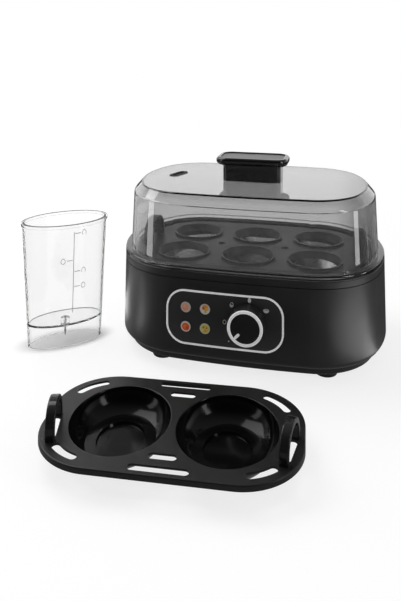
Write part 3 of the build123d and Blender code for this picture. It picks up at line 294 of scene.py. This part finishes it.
def hang(name, place, target, size, watts, alone=()):
    """A soft lamp that points from its place at its target; it may shine on some pieces alone."""
    lamp = bpy.data.lights.new(name, "AREA")
    lamp.shape = "RECTANGLE"
    lamp.size, lamp.size_y = size
    lamp.energy = watts
    holder = bpy.data.objects.new(name, lamp)
    holder.location = place
    holder.rotation_euler = (Vector(target) - Vector(place)).to_track_quat("-Z", "Y").to_euler()
    bpy.context.scene.collection.objects.link(holder)
    if alone:
        lit_pieces = bpy.data.collections.new(name + "_pieces")
        for piece in alone:
            lit_pieces.objects.link(nodes[piece])
        holder.light_linking.receiver_collection = lit_pieces
        holder.visible_camera = False
        holder.visible_transmission = False
    print(name, "of", watts, "W")


hang("key_box", place=(-0.75, 0.35, 1.05), target=(0.0, 0.0, 0.04), size=(0.9, 0.9), watts=9.0)
hang("left_strip", place=(-0.95, -0.35, 0.42), target=(0.0, 0.06, 0.06), size=(0.22, 0.9), watts=1.6)
hang("right_strip", place=(1.05, -0.30, 0.45), target=(0.06, 0.06, 0.06), size=(0.20, 0.9), watts=3.0)
hang(
    "left_card", place=(-0.310, -0.081, 0.045), target=(-0.027, -0.002, 0.10),
    size=(0.08, 0.12), watts=0.15, alone=LID_ALONE,
)
hang(
    "right_card", place=(0.402, 0.051, 0.040), target=(0.113, 0.004, 0.10),
    size=(0.06, 0.12), watts=0.12, alone=LID_ALONE,
)
hang(
    "left_glow", place=(-0.165, 0.035, 0.001), target=(-0.165, 0.035, 1.0),
    size=(0.14, 0.13), watts=0.19, alone=BASE_ALONE,
)
hang(
    "right_glow", place=(0.215, -0.015, 0.001), target=(0.215, -0.015, 1.0),
    size=(0.14, 0.12), watts=0.18, alone=BASE_ALONE,
)

# %% [markdown]
# ## Finishes
# Moulded plastic is never one flat colour: the tool leaves a fine grain, the shine wanders a
# little across the surface, and the pigment is not quite even. The helpers below give a plain
# shader those three things; every opaque finish starts from them.

# %% The common moulded finish
SHINE_PATCH = 40
SHINE_LIMITS = (0.3, 0.7)
SHINE_DETAIL = 2.0
GRAIN_DETAIL = 4.0
FINE_GRAIN = (0.3, 0.002)
TINT_PATCH = 30.0
TINT_LIMITS = (0.35, 0.65)


def new_finish(name, colour, roughness, **sockets):
    """A material of one main shader with plain values; returns the material, its tree and shader."""
    made = bpy.data.materials.new(name)
    made.use_nodes = True
    shader = made.node_tree.nodes["Principled BSDF"]
    shader.inputs["Base Color"].default_value = colour
    shader.inputs["Roughness"].default_value = roughness
    for socket, value in sockets.items():
        shader.inputs[socket.replace("_", " ")].default_value = value
    return made, made.node_tree, shader


def give_grain(tree, shader, grain, spread, shine=None):
    """Grain of a size and depth in millimetres, with the shine wandering by spread over patches."""
    size, depth = grain
    rough = shader.inputs["Roughness"].default_value if shine is None else shine
    patch = cloud(tree, SHINE_PATCH * size, SHINE_DETAIL)
    wander = ramp(tree, patch, *SHINE_LIMITS, -spread, spread)
    tree.links.new(sums(tree, "ADD", rough, wander), shader.inputs["Roughness"])
    height = cloud(tree, size, GRAIN_DETAIL)
    bump = add_node(tree, "ShaderNodeBump", {"Height": height, "Distance": depth * MM})
    tree.links.new(bump.outputs[0], shader.inputs["Normal"])


def drift(tree, size, first, second):
    """A pigment that drifts between two colours over patches of this size in millimetres."""
    return blend_colours(tree, ramp(tree, cloud(tree, size), *TINT_LIMITS), first, second)


def moulded(name, greys, roughness, grain=(0.5, 0.006), spread=0.04, **sockets):
    """A moulded or drawn surface: pigment between two greys, grain and a wandering shine."""
    dark, light = greys
    made, tree, shader = new_finish(name, grey(dark), roughness, **sockets)
    tree.links.new(drift(tree, TINT_PATCH, grey(dark), grey(light)), shader.inputs["Base Color"])
    give_grain(tree, shader, grain, spread)
    return made


def dress(finish, *names):
    """Give these CAD nodes this finish."""
    for name in names:
        nodes[name].data.materials.clear()
        nodes[name].data.materials.append(finish)
    print(finish.name, "on", ", ".join(names))


# %% [markdown]
# The housing, its bottom cover and the rim are black ABS with a satin grain, and so are the rack,
# the vent, the panel and the knob, each with its own shine. The handle is polished in the tool, so
# it mirrors the room; the cap in its grip is duller.

# %% Black plastics
SATIN = {"Specular_IOR_Level": 0.3}
DULL = {"Specular_IOR_Level": 0.2}

finish = moulded("housing_black", greys=(0.017, 0.021), roughness=0.36, grain=(0.45, 0.005), **SATIN)
dress(finish, "base_housing", "bottom_cover", "rim_ring")
finish = moulded("gloss_black", greys=(0.006, 0.008), roughness=0.10, grain=(6.0, 0.01), spread=0.02)
dress(finish, "lid_handle")
finish = moulded("cap_black", greys=(0.010, 0.013), roughness=0.30, grain=(3.0, 0.004), spread=0.02, **DULL)
dress(finish, "handle_cap")
finish = moulded("rack_black", greys=(0.008, 0.011), roughness=0.33, grain=(0.6, 0.006), **SATIN)
dress(finish, "egg_rack")
finish = moulded("vent_black", greys=(0.004, 0.006), roughness=0.60, grain=(0.6, 0.006), **SATIN)
dress(finish, "vent_insert")
# The panel's black is paler than the housing's, as painted light for the light the dim front of the room
# doesn't give it.
finish = moulded("panel_black", greys=(0.040, 0.044), roughness=0.30, grain=FINE_GRAIN, spread=0.02, **SATIN)
dress(finish, "control_panel")
finish = moulded("knob_black", greys=(0.020, 0.024), roughness=0.38, grain=(0.4, 0.004), **SATIN)
dress(finish, "timer_knob")

# %% [markdown]
# The frame of the panel, the ring on the knob and its pointer are lacquered silver: pale, with a
# little metal in it. A faint glow of its own stands for the light that the dim front of the room
# doesn't send.

# %% Silver trim
SILVER = grey(0.92)
TRIM_LIFT = {"Emission_Color": grey(1.0), "Emission_Strength": 0.22}

silver, tree, shader = new_finish("silver_lacquer", SILVER, roughness=0.34, Metallic=0.15, **TRIM_LIFT)
give_grain(tree, shader, grain=(0.25, 0.002), spread=0.05)
dress(silver, "panel_bezel", "knob_ring", "knob_pointer")

# %% [markdown]
# The lid is moulded in smoked clear plastic and the cup in water-clear plastic. Light that goes
# through takes the colour of the plastic. The tint is darker in the lid's flat top, and darker still
# at its right end, where the extra darkness is painted shade. The cup's tint turns grey where the eye
# meets it at a slant, as painted shade on its edges. Part of the cup bends light and mirrors none,
# which keeps its edges soft. Lamps are let through as if the wall were a tinted film, because bent
# light from small lamps would take far too long to gather.

# %% Clear plastics
PLASTIC_IOR = 1.49
WAVES = (25.0, 0.02)
# The third grey, at the lid's right end, is painted shade.
SMOKE, SMOKE_ON_TOP, END_PAINTED_SHADE = grey(0.64), grey(0.52), grey(0.31)
SMOKE_TOP = (0.117, 0.121)
PAINTED_SHADE_SPAN = (0.095, 0.135)
SMOKE_FILM = grey(0.86)
# The second water grey, where the cup is seen at a slant, is painted shade on its edges.
WATER, WATER_PAINTED_EDGE_SHADE = grey(0.975), grey(0.80)
PAINTED_EDGE_SPAN = (0.25, 0.85)
WATER_FILM = grey(0.90)
CUP_MIRROR = 0.60


def smoke_tint_and_painted_shade(tree):
    """The colour of the lid's plastic at a point, with painted shade at its right end."""
    spot = axes_of(tree, place_of(tree))
    wall_and_top = blend_colours(tree, ramp(tree, spot["Z"], *SMOKE_TOP), SMOKE, SMOKE_ON_TOP)
    # Towards the right end the tint darkens: painted shade.
    return blend_colours(tree, ramp(tree, spot["X"], *PAINTED_SHADE_SPAN), wall_and_top, END_PAINTED_SHADE)


def water_tint_and_edge_shade(tree):
    """The colour of the cup's plastic, with painted shade where it is seen at a slant."""
    facing = add_node(tree, "ShaderNodeLayerWeight", {"Blend": 0.5}).outputs["Facing"]
    return blend_colours(tree, ramp(tree, facing, *PAINTED_EDGE_SPAN), WATER, WATER_PAINTED_EDGE_SHADE)


def clear_plastic(name, tint, film, roughness, mirror=1.0):
    """A clear wall: glass to the eye, of a tint that is worked out in its tree, and a thin tinted
    film to the lamps. With a mirror share under 1 the rest of the wall only bends light."""
    made, tree, shader = new_finish(name, grey(1.0), roughness, IOR=PLASTIC_IOR, Transmission_Weight=1.0)
    colour = tint(tree)
    tree.links.new(colour, shader.inputs["Base Color"])
    give_grain(tree, shader, WAVES, spread=roughness / 3)
    wall = shader.outputs[0]
    if mirror < 1.0:
        root = add_node(tree, "ShaderNodeGamma", {"Color": colour, "Gamma": 0.5}).outputs[0]
        sockets = {"Color": root, "Roughness": roughness, "IOR": PLASTIC_IOR}
        bent = add_node(tree, "ShaderNodeBsdfRefraction", sockets).outputs[0]
        wall = blend_shaders(tree, mirror, bent, wall)
    film_shader = add_node(tree, "ShaderNodeBsdfTransparent", {"Color": film}).outputs[0]
    path = add_node(tree, "ShaderNodeLightPath").outputs
    lamp_ray = sums(tree, "MAXIMUM", path["Is Shadow Ray"], path["Is Diffuse Ray"])
    surface = blend_shaders(tree, lamp_ray, wall, film_shader)
    tree.links.new(surface, tree.nodes["Material Output"].inputs["Surface"])
    return made


smoked_clear = clear_plastic("smoked_clear", smoke_tint_and_painted_shade, SMOKE_FILM, roughness=0.03)
dress(smoked_clear, "lid_shell")
water_clear = clear_plastic("water_clear", water_tint_and_edge_shade, WATER_FILM, roughness=0.02, mirror=CUP_MIRROR)
dress(water_clear, "measuring_cup")

# %% [markdown]
# The poaching tray is one moulding with two surfaces: the plate has a satin grain, while the bowls
# and the loop handles are polished. The finish turns each point into the tray's own axes, reads the
# distance from the nearer bowl's middle, with the oval's long axis shrunk, and the height above
# the plate, and lowers the roughness there.

# %% The tray's two surfaces
TRAY_MIDDLE = (12.0 * MM, -92.3 * MM, 0.0)
TRAY_TURN = np.radians(4.0)
BOWL_OFFSET = 31.5 * MM
BOWL_EDGE = 29.5 * MM
BOWL_OVAL = 1.18
BOWL_FADE = 0.2 * MM
TRAY_PLATE_TOP = 14.8 * MM
LOOP_FADE = (TRAY_PLATE_TOP + 0.5 * MM, TRAY_PLATE_TOP + 1.5 * MM)
TRAY_TINT_PATCH = 25.0
PLATE_BLACKS = (grey(0.011), grey(0.014))
BOWL_BLACK = grey(0.003)
PLATE_SPECULAR, BOWL_SPECULAR = 0.3, 0.16
PLATE_ROUGHNESS, POLISHED_ROUGHNESS = 0.36, 0.13

tray_black, tree, shader = new_finish("tray_black", PLATE_BLACKS[0], PLATE_ROUGHNESS)
spot = axes_of(tree, own_axes(tree, TRAY_MIDDLE, TRAY_TURN))
nearest = sums(tree, "SUBTRACT", sums(tree, "ABSOLUTE", spot["X"]), BOWL_OFFSET)
along = sums(tree, "DIVIDE", spot["Y"], BOWL_OVAL)
square = sums(tree, "ADD", sums(tree, "POWER", nearest, 2.0), sums(tree, "POWER", along, 2.0))
radius = sums(tree, "SQRT", square)
in_bowl = ramp(tree, radius, BOWL_EDGE - BOWL_FADE, BOWL_EDGE + BOWL_FADE, 1.0, 0.0)
polish = sums(tree, "MAXIMUM", in_bowl, ramp(tree, spot["Z"], *LOOP_FADE))
pigment = drift(tree, TRAY_TINT_PATCH, *PLATE_BLACKS)
tree.links.new(blend_colours(tree, in_bowl, pigment, BOWL_BLACK), shader.inputs["Base Color"])
specular = ramp(tree, in_bowl, 0.0, 1.0, PLATE_SPECULAR, BOWL_SPECULAR)
tree.links.new(specular, shader.inputs["Specular IOR Level"])
shine = ramp(tree, polish, 0.0, 1.0, PLATE_ROUGHNESS, POLISHED_ROUGHNESS)
give_grain(tree, shader, grain=(0.5, 0.005), spread=0.03, shine=shine)
dress(tray_black, "poaching_tray")

# %% [markdown]
# Under the lid and inside the base are metal and insulating pieces: a pressed steel pan, zinc
# plated fasteners, the tinted tube of the heater, rubber, silicone and ceramic.

# %% Metals
METAL_SPREAD = 0.08


def metal(name, greys, roughness, grain):
    """Bare metal: fine drawn grain and a colour that drifts between two greys."""
    return moulded(name, greys, roughness, grain, METAL_SPREAD, Metallic=1.0)


dress(metal("pan_steel", greys=(0.52, 0.60), roughness=0.30, grain=(0.8, 0.004)), "water_pan")
zinc = metal("zinc_plate", greys=(0.50, 0.62), roughness=0.32, grain=(0.4, 0.004))
dress(zinc, "cover_screws", "pan_screws", "handle_screws", "element_clamp", "clamp_nut")
dress(zinc, "thermostat_bracket", "thermostat_nuts", "fuse_clip", "switch_nut", "switch_shaft")
dress(metal("needle_steel", greys=(0.22, 0.30), roughness=0.25, grain=(0.2, 0.002)), "piercing_needle")
dress(metal("heater_tube", greys=(0.20, 0.34), roughness=0.42, grain=(1.2, 0.01)), "heating_element")

# %% Rubber, silicone, ceramic and wire
WIRE_TINT_PATCH = 15.0
WIRE_REDS = ((0.30, 0.045, 0.03, 1.0), (0.38, 0.07, 0.04, 1.0))

rubber = moulded("foot_rubber", greys=(0.014, 0.02), roughness=0.62, grain=(0.6, 0.01))
dress(rubber, "feet", "cord_gland")
phenolic = moulded("switch_phenolic", greys=(0.02, 0.03), roughness=0.5, grain=(0.5, 0.008))
dress(phenolic, "rotary_switch", "gland_nut")
ceramic = moulded("pale_ceramic", greys=(0.62, 0.72), roughness=0.5, grain=(0.4, 0.006))
dress(ceramic, "terminal_block", "thermostat", "thermal_fuse")
silicone = moulded("seal_silicone", greys=(0.05, 0.07), roughness=0.55, grain=(0.5, 0.006), spread=0.05)
dress(silicone, "pan_gasket")
jacket, tree, shader = new_finish("wire_jacket", WIRE_REDS[0], roughness=0.45)
tree.links.new(drift(tree, WIRE_TINT_PATCH, *WIRE_REDS), shader.inputs["Base Color"])
give_grain(tree, shader, grain=(0.3, 0.004), spread=0.05)
dress(jacket, "wiring")

# %% [markdown]
# ## Thin prints
# Printed marks are sheets a few hundredths of a millimetre thick that lie on the surface which
# carries them. Each is worked out as a grid of points from two parameters, then joined to a mesh.
# Points that fall together, at the middle of a disc or where a ring closes, are merged.

# %% From grids of points to a piece
PRINT_THICKNESS = 0.03
MERGE_DISTANCE = 1e-8


def join_grids(name, grids, finish, body):
    """One mesh from grids of points, shape (rows, columns, 3) in metres; a quad joins each four."""
    points = np.concatenate([g.reshape(-1, 3) for g in grids])
    quads, start = [], 0
    for g in grids:
        rows, columns = g.shape[:2]
        index = start + np.arange(rows * columns).reshape(rows, columns)
        four = [index[:-1, :-1], index[:-1, 1:], index[1:, 1:], index[1:, :-1]]
        quads.append(np.stack(four, -1).reshape(-1, 4))
        start += rows * columns
    made = bpy.data.meshes.new(name)
    made.from_pydata(points.tolist(), [], np.concatenate(quads).tolist())
    work = bmesh.new()
    work.from_mesh(made)
    bmesh.ops.remove_doubles(work, verts=work.verts, dist=MERGE_DISTANCE)
    work.to_mesh(made)
    work.free()
    piece = bpy.data.objects.new(name, made)
    bpy.context.scene.collection.objects.link(piece)
    made.materials.append(finish)
    thick = piece.modifiers.new("thickness", "SOLIDIFY")
    thick.thickness = PRINT_THICKNESS * MM
    thick.offset = 0.0
    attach(piece, body)
    print(name, len(made.vertices), "points,", len(made.polygons), "faces")
    return piece


# %% [markdown]
# The front wall is bowed and drafted. For a point x along the cooker and z above the table, it lies
# sqrt((bow + lean)^2 - x^2) - bow + width / 2 in front of the middle, where the lean grows from 0 at
# the top of the wall. The prints use the same formula, a hair further out than the panel's face.

# %% The front wall as a formula
COOKER_MIDDLE = np.array([34.3, 67.2])
WALL_BOW = 770.0
WALL_HALF_WIDTH = 72.5
WALL_TOP = 64.8
WALL_HEIGHT = 55.3
WALL_DRAFT = 1.1
PANEL_PROUD = 0.2
PANEL_MIDDLE = (-10.0, 38.2)


def on_front(x, z, proud):
    """Points in metres on the front wall at x and z in millimetres, proud of it by a distance."""
    lean = WALL_DRAFT * (WALL_TOP - z) / WALL_HEIGHT
    out = np.sqrt((WALL_BOW + lean + proud) ** 2 - x**2) - WALL_BOW + WALL_HALF_WIDTH
    return np.stack([x + COOKER_MIDDLE[0], COOKER_MIDDLE[1] - out, z], -1) * MM


panel_face = on_front(np.array(PANEL_MIDDLE[0]), np.array(PANEL_MIDDLE[1]), PANEL_PROUD)
print("panel face at", np.round(panel_face, 4))

# %% [markdown]
# Round the knob are five marks: a dot where it rests, then eggs drawn as an outline, half filled
# and full, and a bowl. An egg is an oval whose upper half is drawn in: x = a cos t (1 - k sin t),
# z = b sin t. Filled shapes carry it in to the middle, and outlines carry it a line's width in.
# Places are in millimetres from the knob's middle.

# %% Print the dial
KNOB_MIDDLE = (7.0, 39.2)
INK_PROUD = PANEL_PROUD + 0.05
EGG_POINT = 0.16
EGG_RINGS = 6
SPOKES = 49
WHOLE_EGG = (0.0, 2 * pi)
LOWER_HALF = (pi, 2 * pi)
HALF_FILLED = (0.98 * pi, 2.02 * pi)
REST_DOT = (-13.2, -14.7)
OUTLINED_EGG = (-16.3, -1.6)
HALF_EGG = (-11.2, 10.8)
HALF_EGG_TILT = -0.2
FULL_EGG = (1.4, 15.1)
BOWL_MARK = (13.1, 9.3)


def egg(a, b, reach, turns):
    """Points of an egg of half axes a and b: reach 0 is its middle and 1 its outline."""
    x = a * np.cos(turns) * (1 - EGG_POINT * np.sin(turns))
    return reach * x, reach * b * np.sin(turns)


def egg_patch(place, a, b, inner=0.0, span=WHOLE_EGG, tilt=0.0):
    """A grid on the panel from reach inner to 1, over a span of turns, tilted about its place."""
    rings = np.linspace(inner, 1, EGG_RINGS)
    reach, turns = np.meshgrid(rings, np.linspace(*span, SPOKES), indexing="ij")
    x, z = egg(a, b, reach, turns)
    c, s = np.cos(tilt), np.sin(tilt)
    across = KNOB_MIDDLE[0] + place[0] + c * x - s * z
    up = KNOB_MIDDLE[1] + place[1] + s * x + c * z
    return on_front(across, up, INK_PROUD)


dial = [
    egg_patch(OUTLINED_EGG, a=1.25, b=1.6, inner=0.72),
    egg_patch(HALF_EGG, a=1.35, b=1.85, inner=0.78, tilt=HALF_EGG_TILT),
    egg_patch(HALF_EGG, a=1.35, b=1.85, span=HALF_FILLED, tilt=HALF_EGG_TILT),
    egg_patch(FULL_EGG, a=1.2, b=1.75),
    egg_patch(BOWL_MARK, a=2.0, b=0.85, inner=0.62),
    egg_patch(BOWL_MARK, a=2.0, b=2.0, span=LOWER_HALF),
    egg_patch(REST_DOT, a=0.45, b=0.45),
]
print_white = moulded("print_white", greys=(0.78, 0.84), roughness=0.4, grain=FINE_GRAIN)
join_grids("dial_marks", dial, print_white, "base")

# %% [markdown]
# The four round pictures show dishes on plates. Each is a disc whose colour is worked out from the
# place on it: soft round patches are laid over one another, each with a middle, a radius, the width
# over which its edge fades, and a colour. The colours ride on the mesh as an attribute, which the
# finish reads. A dish is placed by its middle, in millimetres from the panel's middle.

# %% Print the dishes
PICTURE_RADIUS = 3.55
PICTURE_RINGS = 20
PICTURE_PROUD = PANEL_PROUD + 0.14
DISHES = {
    (-27.7, 6.8): [
        ((0.0, 0.0), 9.0, 0.5, (0.74, 0.60, 0.56)),
        ((-0.3, -0.1), 2.5, 1.3, (0.86, 0.36, 0.20)),
        ((-0.8, 0.6), 1.1, 0.9, (0.90, 0.48, 0.32)),
    ],
    (-13.5, 6.8): [
        ((0.0, 0.0), 9.0, 0.5, (0.86, 0.80, 0.74)),
        ((0.2, 0.9), 2.2, 0.8, (0.90, 0.34, 0.06)),
        ((1.3, 0.2), 1.2, 0.6, (0.92, 0.52, 0.08)),
        ((-1.2, 0.6), 0.8, 0.5, (0.72, 0.12, 0.04)),
        ((0.3, -1.8), 0.9, 0.5, (0.70, 0.62, 0.10)),
        ((-0.9, -1.3), 0.7, 0.5, (0.90, 0.86, 0.80)),
    ],
    (-27.7, -6.9): [
        ((0.0, 0.0), 9.0, 0.5, (0.92, 0.80, 0.66)),
        ((0.0, -0.2), 2.8, 0.4, (0.90, 0.13, 0.03)),
        ((-0.6, 0.5), 1.2, 0.9, (0.93, 0.22, 0.06)),
        ((0.9, -0.9), 0.7, 0.5, (0.80, 0.07, 0.02)),
    ],
    (-13.5, -6.9): [
        ((0.0, 0.0), 9.0, 0.5, (0.84, 0.80, 0.42)),
        ((0.2, -0.2), 2.7, 0.8, (0.86, 0.62, 0.12)),
        ((-1.0, 1.0), 0.6, 0.4, (0.20, 0.22, 0.04)),
        ((1.3, 0.6), 0.5, 0.4, (0.62, 0.10, 0.04)),
        ((0.4, -1.5), 0.6, 0.4, (0.80, 0.34, 0.05)),
        ((-1.4, -0.9), 0.7, 0.5, (0.90, 0.80, 0.34)),
    ],
}


def dish_grid():
    """A disc of rings and spokes about its middle: x = r cos t, z = r sin t."""
    rings = np.linspace(0, PICTURE_RADIUS, PICTURE_RINGS)
    r, t = np.meshgrid(rings, np.linspace(0, 2 * pi, SPOKES), indexing="ij")
    return r * np.cos(t), r * np.sin(t)


def dish_colours(x, z, patches):
    """Colours at places on a disc: each patch covers what is below it inside its radius."""
    colour = np.zeros(x.shape + (3,))
    for (cx, cz), radius, fade, tone in patches:
        away = np.hypot(x - cx, z - cz)
        cover = np.clip((radius + fade / 2 - away) / fade, 0, 1)[..., None]
        colour = colour * (1 - cover) + np.array(tone) * cover
    return colour


prints, tones = [], []
for place, patches in DISHES.items():
    x, z = dish_grid()
    prints.append(on_front(PANEL_MIDDLE[0] + place[0] + x, PANEL_MIDDLE[1] + place[1] + z, PICTURE_PROUD))
    tones.append(dish_colours(x, z, patches))

dish_ink, tree, shader = new_finish("dish_ink", grey(0.5), roughness=0.28)
ink = add_node(tree, "ShaderNodeAttribute", attribute_name="ink")
tree.links.new(ink.outputs["Color"], shader.inputs["Base Color"])
give_grain(tree, shader, FINE_GRAIN, spread=0.03)
dish_pictures = join_grids("dish_pictures", prints, dish_ink, "base")
spots = np.concatenate([p.reshape(-1, 3) for p in prints])
inks = np.concatenate([t.reshape(-1, 3) for t in tones])
corner = np.empty(len(dish_pictures.data.vertices) * 3, np.float32)
dish_pictures.data.vertices.foreach_get("co", corner)
nearest_spot = ((corner.reshape(-1, 1, 3) - spots[None]) ** 2).sum(-1).argmin(1)
layer = dish_pictures.data.color_attributes.new("ink", "FLOAT_COLOR", "POINT")
layer.data.foreach_set("color", np.column_stack([inks[nearest_spot], np.ones(len(nearest_spot))]).ravel())
print(len(DISHES), "dishes printed")
dress(moulded("picture_rim", greys=(0.60, 0.70), roughness=0.3, grain=FINE_GRAIN), "picture_discs")

# %% [markdown]
# The cup carries a faint water scale on its near wall: an upright line, short ticks, and an egg
# beside each tick. The wall is an oval that widens upwards, a(z) cos t and b(z) sin t, turned with
# the cup. A mark at s millimetres from the line lies at t = t0 + s / a. Each mark has its height,
# its side of the line, and how far round its egg is drawn.

# %% Print the water scale
CUP_TOP = 95.0
CUP_TOP_AXES = np.array([33.15, 20.7])
SCALE_TURN = np.radians(-86.6)
SCALE_PROUD = 0.06
SCALE_LINE = 0.28
SCALE_SPAN = (26.6, 89.3)
BAR_STEPS = 9
TICK_START, TICK_END = 0.8, 5.2
SCALE_EGG_AWAY = 8.2
SCALE_EGG_AXES = (1.8, 2.3)
SCALE_EGG_RINGS = (0.78, 1, 3)
OPEN_EGG = (-0.9, pi + 0.9)
SCALE_MARKS = ((88.1, 1, OPEN_EGG), (58.4, 1, OPEN_EGG), (46.6, 1, WHOLE_EGG), (67.4, -1, WHOLE_EGG))


def on_cup(s, z):
    """Points in metres on the cup's outer wall, s along it from the scale's line and z up."""
    share = z / CUP_TOP
    a = CUP_FOOT_AXES[0] + (CUP_TOP_AXES[0] - CUP_FOOT_AXES[0]) * share
    b = CUP_FOOT_AXES[1] + (CUP_TOP_AXES[1] - CUP_FOOT_AXES[1]) * share
    t = SCALE_TURN + s / a
    u, v = (a + SCALE_PROUD) * np.cos(t), (b + SCALE_PROUD) * np.sin(t)
    x = CUP_MIDDLE[0] + u * np.cos(CUP_TURN) - v * np.sin(CUP_TURN)
    y = CUP_MIDDLE[1] + u * np.sin(CUP_TURN) + v * np.cos(CUP_TURN)
    return np.stack([x, y, z], -1) * MM


def scale_bar(s_range, z_range):
    """A straight bar on the cup's wall."""
    along_wall = np.linspace(*s_range, BAR_STEPS)
    s, z = np.meshgrid(along_wall, np.linspace(*z_range, BAR_STEPS), indexing="ij")
    return on_cup(s, z)


def scale_egg(s, z, span):
    """An egg's outline on the cup's wall, over a span of turns."""
    rings = np.linspace(*SCALE_EGG_RINGS)
    reach, turns = np.meshgrid(rings, np.linspace(*span, SPOKES), indexing="ij")
    x, up = egg(*SCALE_EGG_AXES, reach, turns)
    return on_cup(s + x, z + up)


scale = [scale_bar((-SCALE_LINE, SCALE_LINE), SCALE_SPAN)]
for height, side, span in SCALE_MARKS:
    ends = sorted((side * TICK_START, side * TICK_END))
    scale.append(scale_bar(ends, (height - SCALE_LINE, height + SCALE_LINE)))
    scale.append(scale_egg(side * SCALE_EGG_AWAY, height, span))
scale_grey = moulded("scale_grey", greys=(0.60, 0.66), roughness=0.4, grain=FINE_GRAIN)
join_grids("water_scale", scale, scale_grey, "cup")
